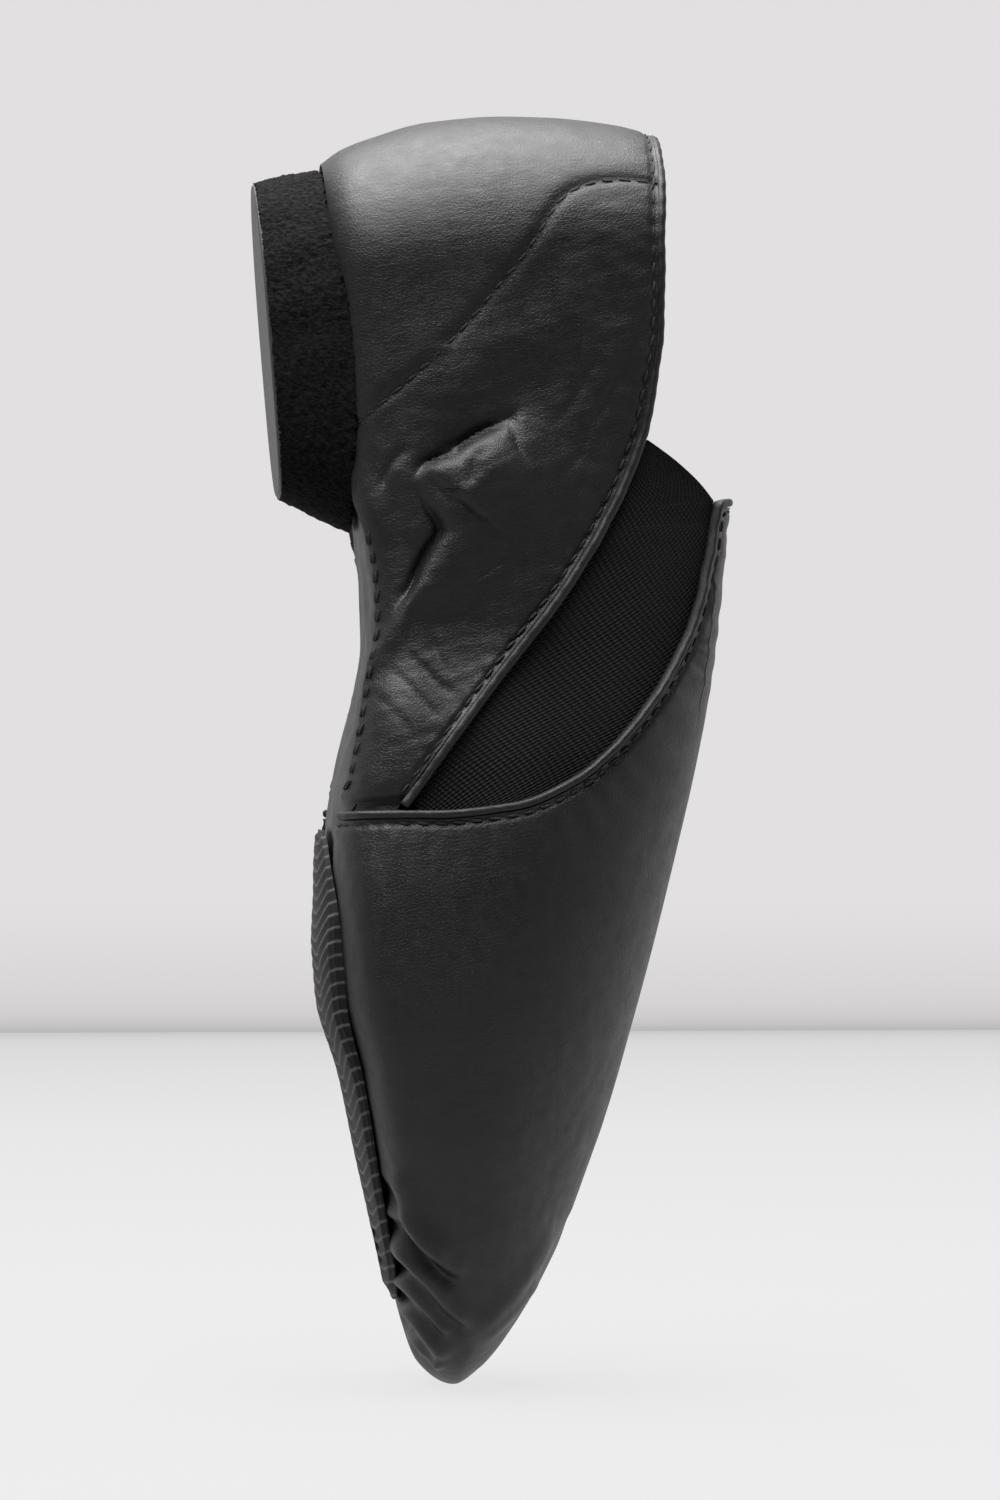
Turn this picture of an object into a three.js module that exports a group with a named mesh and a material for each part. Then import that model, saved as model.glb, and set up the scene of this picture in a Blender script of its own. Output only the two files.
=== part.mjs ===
// Right-foot slip-on split-sole dance shoe, stood on its heel pad and forepart sole.
// Millimetres. X runs from the heel to the toe, Z is up, +Y is the inner side of the foot.
// The origin lies on the floor under the middle of the heel pad.
import * as THREE from 'three';
import { LoftGeometry } from 'three/addons/geometries/LoftGeometry.js';

// ---------------------------------------------------------------- driving dimensions
const SHOE_LENGTH = 247;
const BALL_WIDTH = 84;
const HEEL_WIDTH = 57;
const INSTEP_HEIGHT = 88;
const HEEL_HEIGHT = 12.5;
const FOREPART_SOLE = 2.3;

const LEATHER = 1.0;
const LINING = 0.6;
const MESH = 0.5;
const STIFFENER = 0.8;
const ARCH_LEATHER = 0.6;
const BOARD = 1.2;
const FOAM = 1.6;
const SOCK = 0.8;
const TOP_LIFT = 2.5;
const HEEL_COVER = 1.0;
const TOPLINE_WIDTH = 3.0;
const EDGE_WIDTH = 1.7;
const EDGE_HEIGHT = 1.7;
const SEAM_UNDERLAP = 4;
const GAP = 0.3;

// ---------------------------------------------------------------- pattern sizes the curves are drawn in
const PATTERN_LENGTH = 247;
const PATTERN_BALL_WIDTH = 84;
const PATTERN_HEEL_WIDTH = 57;
const PATTERN_INSTEP_HEIGHT = 88;

const LONG = SHOE_LENGTH / PATTERN_LENGTH;
const TALL = INSTEP_HEIGHT / PATTERN_INSTEP_HEIGHT;

// The curves below are drawn along the pattern length, heel pad centre at 0.
// Each is a list of [pattern x, value] or [height, pattern x] pairs.
const SEAT_X = -10;
const TOE_X = 175;
const TOE_REACH = 33;

// share of the heel lift carried at each point along the shoe
const LIFT = [[-40, 1], [28, 1], [45, 1.08], [62, 1], [73, 0.72], [85, 0.34], [97, 0.07], [107, 0], [208, 0]];
// toe spring under the forepart
const SPRING = [[-40, 0], [130, 0], [145, 2.3], [163, 4.3], [175, 5.8], [208, 9]];
const WIDEST = [[-40, 33], [40, 34], [65, 30], [90, 22], [115, 17], [135, 16.5], [155, 17], [175, 20]];
const CROWN = [
  [-40, 114], [-10, 111], [15, 100], [30, 91.5], [41, 88.4], [56, 85.6], [73, 82.2], [90, 77.7],
  [108, 72], [125, 66.3], [142, 60.2], [159, 53.6], [175, 46.3],
];
// half widths as shares of the heel width (back) and of the ball width (front)
const HEEL_SHARE = [[-40, 0.5], [15, 0.5], [40, 0.5], [65, 0.53]];
const BALL_SHARE = [[65, 0.36], [90, 0.43], [115, 0.487], [135, 0.5], [155, 0.47], [175, 0.4]];
const CENTRE = [[-40, 0], [20, 0], [65, -1.5], [100, 0], [135, 1.5], [175, 4], [208, 5.5]];
const LOWER_POWER = [[-40, 5], [30, 5], [70, 3.6], [208, 3.4]];

// profile of the back of the heel: height above the heel seat, pattern x
const BACK = [[0, -31.5], [5.5, -34.8], [11.5, -36.6], [22, -38.7], [32, -39], [45, -38], [59, -35.4], [67, -32.6]];
// profile of the toe in the middle plane: angle round the section, forward reach, height
const TOE_REACH_AT = [[-90, 0], [-60, 19], [-35, 28], [0, 33], [20, 30.2], [45, 20.5], [70, 8.5], [90, 0]];
const TOE_HEIGHT_AT = [[-90, 8.2], [-60, 10.9], [-35, 13.6], [0, 20.5], [20, 25.7], [45, 34.5], [70, 42.3], [90, 46.3]];

// upper edges, [pattern x, height]
const TOPLINE = [[-40, 80.4], [-27, 79.9], [-11, 78.2], [6, 76.6], [20, 73.4], [26, 71.6]];
const FRONT_EDGE = [[26, 71.6], [34, 67.8], [45, 61], [55, 53.4], [72, 37.8], [82, 28.8], [90, 21.8]];
const MESH_TOP = [[26, 71.6], [32, 79.2], [36, 83.4], [40, 86.5]];
const THROAT = [
  [39, 88.6], [39.6, 85.2], [45.3, 83.4], [53.8, 80.8], [63.3, 77.1], [71, 72.4], [82, 62.7], [90.3, 51.5],
  [94.4, 38.7], [94.8, 27.8], [94, 16.3], [93.6, 8], [93.6, 2.3],
];

// ---------------------------------------------------------------- curves
const DEGREES = Math.PI / 180;

// smooth curve through a list of [position, value] pairs, never overshooting
function curve(pairs, at) {
  const last = pairs.length - 1;
  if (at <= pairs[0][0]) return pairs[0][1];
  if (at >= pairs[last][0]) return pairs[last][1];
  const slope = (k) => (pairs[k + 1][1] - pairs[k][1]) / (pairs[k + 1][0] - pairs[k][0]);
  const tangent = (k) => {
    if (k === 0) return slope(0);
    if (k === last) return slope(last - 1);
    const before = slope(k - 1);
    const after = slope(k);
    return before * after <= 0 ? 0 : (2 * before * after) / (before + after);
  };
  let k = 0;
  while (pairs[k + 1][0] < at) k += 1;
  const span = pairs[k + 1][0] - pairs[k][0];
  const t = (at - pairs[k][0]) / span;
  const rise = t * t * (3 - 2 * t);
  return pairs[k][1] * (1 - rise) + pairs[k + 1][1] * rise
    + span * (tangent(k) * t * (1 - t) * (1 - t) - tangent(k + 1) * t * t * (1 - t));
}

const mix = (a, b, t) => a + (b - a) * t;
const clamp = (value, low, high) => Math.min(Math.max(value, low), high);
const power = (value, exponent) => Math.sign(value) * Math.abs(value) ** exponent;

// ---------------------------------------------------------------- the foot-shaped body every layer follows
const BASE = FOREPART_SOLE + GAP;
const seatHeight = HEEL_HEIGHT + GAP;
const raise = (x) => curve(LIFT, x) * (seatHeight - BASE);
const patternRaise = (x) => curve(LIFT, x) * (12.8 - BASE);

const bottomAt = (x) => BASE + raise(x) + curve(SPRING, x);
const heightAt = (x, z) => z * TALL + raise(x) - patternRaise(x);
const halfWidthAt = (x) => {
  const back = curve(HEEL_SHARE, x) * HEEL_WIDTH;
  const front = curve(BALL_SHARE, x) * BALL_WIDTH;
  const t = clamp((x - 50) / 30, 0, 1);
  return mix(back, front, t * t * (3 - 2 * t));
};

// point of a cross-section: angle -90 is the middle of the underside, 90 the crown
function section(x, angle, inset) {
  const widest = heightAt(x, curve(WIDEST, x));
  const up = Math.sin(angle * DEGREES);
  const out = Math.cos(angle * DEGREES);
  const exponent = angle < 0 ? 2 / curve(LOWER_POWER, x) : 1;
  const reach = angle < 0 ? widest - bottomAt(x) : heightAt(x, curve(CROWN, x)) - widest;
  return {
    half: (halfWidthAt(x) - inset) * power(Math.max(out, 0), exponent),
    z: widest + (reach - inset) * power(up, exponent),
  };
}

// angle at which a section reaches a height
function angleAtHeight(x, z) {
  const widest = heightAt(x, curve(WIDEST, x));
  const up = z >= widest;
  const reach = up ? heightAt(x, curve(CROWN, x)) - widest : bottomAt(x) - widest;
  const share = clamp((z - widest) / reach, 0, 1);
  const exponent = up ? 1 : 2 / curve(LOWER_POWER, x);
  return (up ? 1 : -1) * Math.asin(share ** (1 / exponent)) / DEGREES;
}

// stations run round the heel (a fan of planes), along the shoe, and round the toe (a second fan)
const HEEL_FAN = 45;
const TOE_FAN = 52;
const BACK_STATION = SEAT_X - HEEL_FAN;
const TOE_STATION = TOE_X + TOE_FAN;

const toeReach = (angle, inset) => curve(TOE_REACH_AT, angle) * (1 - inset / LONG / TOE_REACH);

function toeHeight(angle, inset) {
  const rest = curve(TOE_HEIGHT_AT, 0) * TALL;
  const full = curve(TOE_HEIGHT_AT, angle < 0 ? -90 : 90) * TALL - rest;
  const height = curve(TOE_HEIGHT_AT, angle) * TALL - rest;
  return rest + height * (1 - inset / Math.abs(full));
}

// The toe fan starts with the width and slope of the last section and ends in the toe profile.
function toePattern(turn, angle, inset) {
  const side = section(TOE_X, angle, inset);
  const before = section(TOE_X - 2, angle, inset);
  const forward = toeReach(angle, inset) * Math.sin(turn);
  const carried = (forward * Math.cos(turn) ** 2) / 2;
  return {
    x: TOE_X + forward,
    half: side.half * Math.cos(turn) + (side.half - before.half) * carried,
    z: mix(side.z, toeHeight(angle, inset), Math.sin(turn) ** 2) + (side.z - before.z) * carried,
  };
}

const backX = (z) => curve(BACK, (z - seatHeight) / TALL);

function bodyPattern(station, angle, inset) {
  if (station < SEAT_X) {
    const turn = ((station - BACK_STATION) / HEEL_FAN) * 90 * DEGREES;
    const { half, z } = section(SEAT_X, angle, inset);
    const depth = SEAT_X - backX(z) - inset / LONG;
    return { x: SEAT_X - depth * Math.cos(turn), half: half * Math.sin(turn), z };
  }
  if (station > TOE_X) return toePattern((station - TOE_X) / TOE_FAN * 90 * DEGREES, angle, inset);
  return { x: station, ...section(station, angle, inset) };
}

// side is -1 for the outer side of the foot and 1 for the inner side
function bodyPoint(station, angle, inset, side) {
  const { x, half, z } = bodyPattern(station, angle, inset);
  return new THREE.Vector3(x * LONG, curve(CENTRE, x) + side * half, z);
}

// height of the underside over a plan position given in pattern x and distance from the middle line
function undersideAt(x, offset, inset) {
  const spread = (angle) => {
    if (x < SEAT_X) {
      const { half, z } = section(SEAT_X, angle, inset);
      return Math.hypot((SEAT_X - x) / (SEAT_X - backX(z)), offset / Math.max(half, 1e-6));
    }
    if (x > TOE_X) {
      const forward = (x - TOE_X) / Math.max(toeReach(angle, inset), 1e-6);
      if (forward >= 1) return 2;
      return offset / Math.max(toePattern(Math.asin(forward), angle, inset).half, 1e-6);
    }
    return offset / Math.max(section(x, angle, inset).half, 1e-6);
  };
  let low = -90;
  let high = 0;
  for (let step = 0; step < 40; step += 1) {
    const middle = (low + high) / 2;
    if (spread(middle) > 1) low = middle;
    else high = middle;
  }
  if (x <= TOE_X) return section(Math.max(x, SEAT_X), high, inset).z;
  const forward = clamp((x - TOE_X) / Math.max(toeReach(high, inset), 1e-6), 0, 1);
  return toePattern(Math.asin(forward), high, inset).z;
}

// ---------------------------------------------------------------- solids from grids
// Builds one closed solid between two matching grids of points. Coinciding grid points are
// welded, so a grid may close on itself or run to a point.
function slab(rows, columns, faceA, faceB) {
  const points = [];
  const welded = new Map();
  const index = (row, column) => {
    const a = faceA(row, column);
    const key = [a.x, a.y, a.z].map((value) => Math.round(value * 1000)).join();
    if (!welded.has(key)) {
      welded.set(key, points.length);
      points.push([a, faceB(row, column)]);
    }
    return welded.get(key);
  };
  const grid = [];
  for (let row = 0; row <= rows; row += 1) {
    grid.push([]);
    for (let column = 0; column <= columns; column += 1) grid[row].push(index(row, column));
  }
  const faces = [];
  const addFace = (a, b, c) => {
    if (a !== b && b !== c && c !== a) faces.push([a, b, c]);
  };
  for (let row = 0; row < rows; row += 1) {
    for (let column = 0; column < columns; column += 1) {
      const a = grid[row][column];
      const b = grid[row][column + 1];
      const c = grid[row + 1][column + 1];
      const d = grid[row + 1][column];
      addFace(a, b, c);
      addFace(a, c, d);
    }
  }
  const edges = new Set();
  for (const [a, b, c] of faces) {
    for (const [from, to] of [[a, b], [b, c], [c, a]]) {
      const back = `${to},${from}`;
      if (edges.has(back)) edges.delete(back);
      else edges.add(`${from},${to}`);
    }
  }
  const count = points.length;
  const triangles = [];
  for (const [a, b, c] of faces) {
    triangles.push(a, b, c, count + a, count + c, count + b);
  }
  for (const edge of edges) {
    const [from, to] = edge.split(',').map(Number);
    triangles.push(from, count + from, count + to, from, count + to, to);
  }
  return solid([...points.map((pair) => pair[0]), ...points.map((pair) => pair[1])], triangles);
}

// indexed geometry with every face turned outwards
function solid(points, triangles) {
  let volume = 0;
  for (let k = 0; k < triangles.length; k += 3) {
    const [a, b, c] = [points[triangles[k]], points[triangles[k + 1]], points[triangles[k + 2]]];
    volume += a.dot(b.clone().cross(c));
  }
  const order = volume < 0 ? triangles.slice().reverse() : triangles;
  const geometry = new THREE.BufferGeometry().setFromPoints(points);
  geometry.setIndex(order);
  geometry.computeVertexNormals();
  return geometry;
}

// ---------------------------------------------------------------- materials
const finish = (color, roughness) => new THREE.MeshStandardMaterial({ color, roughness });
const blackLeather = finish('#26262a', 0.5);
const blackMesh = finish('#1b1b1d', 0.9);
const liningCloth = finish('#3a3836', 0.95);
const suede = finish('#1c1b1c', 1.0);
const soleRubber = finish('#222225', 0.8);
const liftRubber = finish('#3d3e42', 0.6);
const fibreBoard = finish('#b59a72', 0.9);
const foamGrey = finish('#8d8f92', 0.95);

const shoe = new THREE.Group();
shoe.name = 'dance_shoe';

function add(name, geometry, material) {
  const mesh = new THREE.Mesh(geometry, material);
  mesh.name = name;
  shoe.add(mesh);
}

const SIDES = [['lateral', -1], ['medial', 1]];

// layers, measured inwards from the outer face of the leather
const UNDER_LEATHER = LEATHER + 0.2;
const LINING_OUT = UNDER_LEATHER + STIFFENER + 0.2;
const LINING_IN = LINING_OUT + LINING;
const BOARD_OUT = LINING_IN + 0.2;
const FOAM_OUT = BOARD_OUT + BOARD + 0.4;
const SOCK_OUT = FOAM_OUT + FOAM + 0.15;

// even steps, closer together towards both ends
const eased = (t) => (1 - Math.cos(Math.PI * t)) / 2;

// ---------------------------------------------------------------- quarters and their linings
const QUARTER_FRONT = 92.4;
const edgeDrop = EDGE_HEIGHT + GAP;
const EDGE_END = 90;
const upperEdge = (x) => heightAt(x, x < 26 ? curve(TOPLINE, x) : curve(FRONT_EDGE, x));
const stationX = (station, angle) => bodyPattern(station, angle, 0).x;

// angle of the quarter's upper edge at a station, a given drop below the finished edge
// height of the finished edge lowered by a drop that is measured square to it
function loweredEdge(x, drop) {
  const at = Math.min(x, EDGE_END - 1);
  const slope = upperEdge(at + 0.5) - upperEdge(at - 0.5);
  return upperEdge(x) - drop * Math.hypot(1, slope);
}

function edgeAngle(station, drop) {
  const probe = Math.max(station, SEAT_X);
  let angle = angleAtHeight(probe, loweredEdge(probe, drop));
  for (let step = 0; step < 4; step += 1) {
    angle = angleAtHeight(probe, loweredEdge(stationX(station, angle), drop));
  }
  return angle;
}

// angle of the lower edge of the upper, tucked under the foot
const MARGIN_ANGLE = [[-55, -60], [30, -60], [40, -48], [85, -46], [95, -62], [175, -64], [227, -78]];

// All side panels share these rows and columns, so that their facets nest.
const CORNER_ANGLES = [-62, -50, -38, -20, 0];
const CORNER_COLUMNS = CORNER_ANGLES.length - 1;
const HEEL_ROWS = 8;
const SIDE_ROWS = 14;

function panelStation(row) {
  if (row <= HEEL_ROWS) return mix(BACK_STATION, SEAT_X, row / HEEL_ROWS);
  return mix(SEAT_X, QUARTER_FRONT, (row - HEEL_ROWS) / SIDE_ROWS);
}

function panelAngle(low, top, column, columns) {
  if (column <= CORNER_COLUMNS) return Math.max(low, CORNER_ANGLES[column]);
  return mix(0, top, (column - CORNER_COLUMNS) / (columns - CORNER_COLUMNS));
}

function quarterPanel(side, inset, thickness) {
  const rows = HEEL_ROWS + SIDE_ROWS;
  const columns = CORNER_COLUMNS + 4;
  const station = (row) => Math.max(panelStation(row), BACK_STATION + 0.25);
  const angle = (row, column) => {
    const low = curve(MARGIN_ANGLE, station(row));
    return panelAngle(low, edgeAngle(station(row), edgeDrop), column, columns);
  };
  const layer = (depth) => (row, column) => bodyPoint(station(row), angle(row, column), depth, side);
  return slab(rows, columns, layer(inset), layer(inset + thickness));
}

for (const [name, side] of SIDES) {
  add(`quarter_${name}`, quarterPanel(side, 0, LEATHER), blackLeather);
  add(`quarter_lining_${name}`, quarterPanel(side, LINING_OUT, LINING), liningCloth);
}

// ---------------------------------------------------------------- heel counter between quarter and lining
const COUNTER_ROWS = HEEL_ROWS + 4;
const COUNTER_LINE = [[-55, 60], [-40, 58], [-10, 52], [5, 46], [20, 36]];

function counterShell() {
  const rows = 2 * COUNTER_ROWS;
  const columns = CORNER_COLUMNS + 2;
  const station = (row) => panelStation(Math.abs(row - COUNTER_ROWS));
  const side = (row) => (row < COUNTER_ROWS ? -1 : 1);
  const angle = (row, column) => {
    const height = heightAt(SEAT_X, curve(COUNTER_LINE, station(row)));
    return panelAngle(-58, angleAtHeight(Math.max(station(row), SEAT_X), height), column, columns);
  };
  const layer = (inset) => (row, column) => bodyPoint(station(row), angle(row, column), inset, side(row));
  return slab(rows, columns, layer(UNDER_LEATHER), layer(UNDER_LEATHER + STIFFENER));
}
add('heel_counter', counterShell(), fibreBoard);

// ---------------------------------------------------------------- vamp with its tongue
// For a throat line set back into the vamp by some distance: pairs of the share of the way
// from the under edge to the crown, and the station where the line crosses it.
function throatLine(setBack) {
  const steps = 48;
  const xs = THROAT.map((pair, k) => [k, pair[0]]);
  const zs = THROAT.map((pair, k) => [k, pair[1]]);
  const low = curve(MARGIN_ANGLE, QUARTER_FRONT + 5);
  const line = [];
  for (let step = 0; step <= steps; step += 1) {
    const along = (step / steps) * (THROAT.length - 1);
    const behind = Math.max(along - 0.2, 0);
    const ahead = Math.min(along + 0.2, THROAT.length - 1);
    const dx = curve(xs, ahead) - curve(xs, behind);
    const dz = curve(zs, ahead) - curve(zs, behind);
    const length = Math.hypot(dx, dz);
    const x = curve(xs, along) - (setBack * dz) / length;
    const z = curve(zs, along) + (setBack * Math.max(dx, 0)) / length;
    const share = clamp((angleAtHeight(x, heightAt(x, z)) - low) / (90 - low), 0, 1);
    const last = line.length > 0 ? line[line.length - 1][0] : 2;
    if (share < last - 1e-4) line.push([share, x]);
  }
  return line.reverse();
}

function vampShell(inset, thickness) {
  const rows = 16;
  const columns = 22;
  const line = throatLine(edgeDrop + GAP);
  const half = columns / 2;
  const share = (column) => 1 - Math.abs(column - half) / half;
  const side = (column) => (column < half ? -1 : 1);
  const point = (depth) => (row, column) => {
    const station = mix(curve(line, share(column)), TOE_STATION, row / rows);
    const low = curve(MARGIN_ANGLE, Math.max(station, QUARTER_FRONT + 5));
    return bodyPoint(station, mix(low, 90, share(column)), depth, side(column));
  };
  return slab(rows, columns, point(inset), point(inset + thickness));
}
add('vamp', vampShell(0, LEATHER), blackLeather);
add('vamp_lining', vampShell(LINING_OUT, LINING), liningCloth);

// ---------------------------------------------------------------- elastic mesh gussets
const GUSSET_BACK = 27;
const GUSSET_FRONT = 97;
const throatHeight = (x) => curve(THROAT.slice(1, 10), x);

function gussetPanel(side) {
  const rows = 12;
  const columns = 6;
  const x = (row) => mix(GUSSET_BACK, GUSSET_FRONT, row / rows);
  const angle = (row, column) => {
    const at = x(row);
    const top = at < 40 ? curve(MESH_TOP, at) - 1 : throatHeight(Math.max(at - SEAM_UNDERLAP, 39.6));
    const low = curve(FRONT_EDGE, at + SEAM_UNDERLAP) - 1.5;
    return mix(angleAtHeight(at, heightAt(at, low)), angleAtHeight(at, heightAt(at, top)), column / columns);
  };
  const layer = (inset) => (row, column) => bodyPoint(x(row), angle(row, column), inset, side);
  return slab(rows, columns, layer(LEATHER + 0.35), layer(LEATHER + 0.35 + MESH));
}
for (const [name, side] of SIDES) add(`mesh_gusset_${name}`, gussetPanel(side), blackMesh);

// ---------------------------------------------------------------- rolled edge bindings
const BINDING_SIDES = 8;
const EDGE_DEPTH = 0.25;
const TOPLINE_DEPTH = LINING_IN / 2;

// oval cord following a path of frames
function bindingCord(frames) {
  const sections = frames.map(({ centre, out, up, width }) => {
    const ring = [];
    for (let k = 0; k < BINDING_SIDES; k += 1) {
      const turn = (k / BINDING_SIDES) * 2 * Math.PI;
      ring.push(centre.clone()
        .addScaledVector(out, (Math.cos(turn) * width) / 2)
        .addScaledVector(up, (Math.sin(turn) * EDGE_HEIGHT) / 2));
    }
    return ring;
  });
  return new THREE.BufferGeometry().copy(new LoftGeometry(sections, { capStart: true, capEnd: true }));
}

// frames on the body at stops of {station, angle, side, depth, width}
function pathFrames(stops) {
  const centres = stops.map(({ station, angle, depth, side }) => bodyPoint(station, angle, depth, side));
  return stops.map(({ station, angle, side, width }, k) => {
    const ahead = centres[Math.min(k + 1, stops.length - 1)];
    const behind = centres[Math.max(k - 1, 0)];
    const tangent = ahead.clone().sub(behind).normalize();
    const out = bodyPoint(station, angle, 0, side).sub(bodyPoint(station, angle, 3, side));
    out.addScaledVector(tangent, -out.dot(tangent)).normalize();
    const up = tangent.clone().cross(out).normalize();
    return { centre: centres[k], out, up, width };
  });
}

function toplineStops() {
  const steps = 22;
  const stops = [];
  for (let k = -steps; k <= steps; k += 1) {
    const station = mix(BACK_STATION, QUARTER_FRONT, Math.abs(k) / steps);
    const narrow = clamp((station - 10) / 16, 0, 1);
    stops.push({
      station,
      angle: edgeAngle(station, EDGE_HEIGHT / 2),
      side: k < 0 ? -1 : 1,
      depth: mix(TOPLINE_DEPTH, EDGE_DEPTH, narrow),
      width: mix(TOPLINE_WIDTH, EDGE_WIDTH, narrow),
    });
  }
  return stops;
}
add('topline_binding', bindingCord(pathFrames(toplineStops())), blackLeather);

function throatStops() {
  const steps = 22;
  const line = throatLine(EDGE_HEIGHT / 2);
  const low = curve(MARGIN_ANGLE, QUARTER_FRONT + 5);
  const stops = [];
  for (let k = -steps; k <= steps; k += 1) {
    const share = 1 - eased(Math.abs(k) / steps / 2) * 2;
    const station = curve(line, share);
    const angle = mix(low, 90, share);
    stops.push({ station, angle, side: k < 0 ? -1 : 1, depth: EDGE_DEPTH, width: EDGE_WIDTH });
  }
  return stops;
}
add('throat_binding', bindingCord(pathFrames(throatStops())), blackLeather);

// ---------------------------------------------------------------- layers under the foot
const alongUnderside = (inset) => (x, offset) => undersideAt(x, offset, inset);

// A plate follows the underside between two height functions. Its rim is the body outline,
// taken at a given section angle and inset.
const PLATE_SHARES = [0, 0.3, 0.55, 0.75, 0.89, 1];

const PLATE_ROWS = 24;
const plateStation = (row) => mix(BACK_STATION, TOE_STATION, row / PLATE_ROWS);

function plate({ first, last, rows, edge, inset, lower, upper }) {
  const half = PLATE_SHARES.length - 1;
  const columns = 2 * half;
  const layer = (height) => (row, column) => {
    const station = plateStation(mix(first, last, row / rows));
    const rim = bodyPattern(station, edge.length ? curve(edge, station) : edge, inset);
    const hub = clamp(rim.x, SEAT_X, TOE_X);
    const share = PLATE_SHARES[Math.abs(column - half)];
    const x = mix(hub, rim.x, share);
    const offset = rim.half * share;
    const side = column < half ? -1 : 1;
    return new THREE.Vector3(x * LONG, curve(CENTRE, x) + side * offset, height(x, offset));
  };
  return slab(rows, columns, layer(lower), layer(upper));
}

const layerPlate = (first, last, edge, out, thickness) => plate({
  first,
  last,
  rows: last - first,
  edge,
  inset: out + thickness,
  lower: alongUnderside(out),
  upper: alongUnderside(out + thickness),
});

add('heel_filler', layerPlate(0, 7, -68, 0.3, LINING_OUT - 0.5), fibreBoard);
add('forepart_filler', layerPlate(14, 21, -68, 0.3, LINING_OUT - 0.5), fibreBoard);
add('heel_insole_board', layerPlate(0, 8, -56, BOARD_OUT, BOARD), fibreBoard);
add('forepart_insole_board', layerPlate(12, 24, -64, BOARD_OUT, BOARD), fibreBoard);
add('footbed_foam', layerPlate(0, 24, -46, FOAM_OUT, FOAM), foamGrey);
add('sock_liner', layerPlate(0, 24, -42, SOCK_OUT, SOCK), liningCloth);

// leather panel under the arch, tucked inside the quarters and reaching under both soles
const ARCH_ANGLES = [-90, -74, -62, -50, -38];
const ARCH_OUT = UNDER_LEATHER + 0.1;

function archPanel() {
  const half = ARCH_ANGLES.length - 1;
  const rows = 12;
  const layer = (inset) => (row, column) => {
    const angle = ARCH_ANGLES[Math.abs(column - half)];
    return bodyPoint(mix(31, 98, row / rows), angle, inset, column < half ? -1 : 1);
  };
  return slab(rows, 2 * half, layer(ARCH_OUT), layer(ARCH_OUT + ARCH_LEATHER));
}
add('arch_panel', archPanel(), blackLeather);

// the sole is full thickness under the ball, thinner towards the toe, rounded and skived at its back edge
const SOLE_EDGE = [[97, -85], [100, -72], [106, -60], [116, -53], [150, -52], [175, -60], [227, -68]];
const SOLE_SHARE = [[97, 0.45], [109, 1], [128, 1], [150, 0.62], [190, 0.5], [208, 0.5]];
const FLAT_MARGIN = 0.25;
const soleReach = (x) => GAP + (FOREPART_SOLE + FLAT_MARGIN) * curve(SOLE_SHARE, x / LONG);
add('forepart_sole', plate({
  first: 12.95,
  last: PLATE_ROWS,
  rows: 20,
  edge: SOLE_EDGE,
  inset: 0,
  lower: (x, offset) => Math.max(0, undersideAt(x, offset, 0) - soleReach(x)),
  upper: (x, offset) => undersideAt(x, offset, 0) - GAP,
}), soleRubber);

// ---------------------------------------------------------------- heel pad
const PAD_BACK = 30;
const PAD_FRONT = 32;
const PAD_TOP_FRONT = 39;
const PAD_HALF = HEEL_WIDTH / 2 - 4.5;
const PAD_FLARE = 1.5;
const PAD_FRONT_POWER = 3.2;

// outline of the pad at a height, shrunk by an inset; the front bulges forward between two corners
function padPoint(turn, z, inset) {
  const rise = z / HEEL_HEIGHT;
  const back = PAD_BACK + PAD_FLARE * rise - inset;
  const front = mix(PAD_FRONT, PAD_TOP_FRONT, rise) - inset;
  const half = PAD_HALF + PAD_FLARE * rise - inset;
  const forward = Math.cos(turn);
  const sideways = Math.sin(turn);
  const exponent = forward > 0 ? 2 / PAD_FRONT_POWER : 1;
  return {
    x: power(forward, exponent) * (forward > 0 ? front : back),
    y: power(sideways, exponent) * half,
  };
}

const PAD_STEPS = 28;
const padTurn = (row) => ((row % PAD_STEPS) / PAD_STEPS) * 2 * Math.PI;
const padTop = (x, offset) => undersideAt(x, offset, 0) - GAP - 0.1;

// solid filling the pad outline between two levels; the top one may follow the heel seat
function padBody(inset, lowZ, highZ, topAt) {
  const face = (outlineZ, height) => (row, column) => {
    const rim = padPoint(padTurn(row), outlineZ, inset);
    const x = rim.x * PLATE_SHARES[column];
    const y = rim.y * PLATE_SHARES[column];
    return new THREE.Vector3(x * LONG, y, height(x, Math.abs(y)));
  };
  return slab(PAD_STEPS, PLATE_SHARES.length - 1, face(lowZ, () => lowZ), face(highZ, topAt));
}

function padCover() {
  const face = (outlineZ, height) => (row, column) => {
    const { x, y } = padPoint(padTurn(row), outlineZ, column * HEEL_COVER);
    return new THREE.Vector3(x * LONG, y, height(x, Math.abs(y)));
  };
  return slab(PAD_STEPS, 1, face(0.4, () => 0.4), face(HEEL_HEIGHT, padTop));
}

add('heel_cover', padCover(), suede);
const insideCover = HEEL_COVER + GAP;
add('heel_top_lift', padBody(insideCover, 0, TOP_LIFT, () => TOP_LIFT), liftRubber);
add('heel_block', padBody(insideCover, TOP_LIFT + 0.2, HEEL_HEIGHT, padTop), soleRubber);

export default shoe;
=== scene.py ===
"""Visual model of a right-foot slip-on split-sole dance shoe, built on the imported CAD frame.

Shapes are worked out in millimetres and turned into metres when a mesh is made. The part's
frame: X runs from heel to toe, Z is up, +Y is the inner side of the foot.
"""
import math

import bmesh
import bpy
import numpy as np
from mathutils import Matrix, Vector


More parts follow.
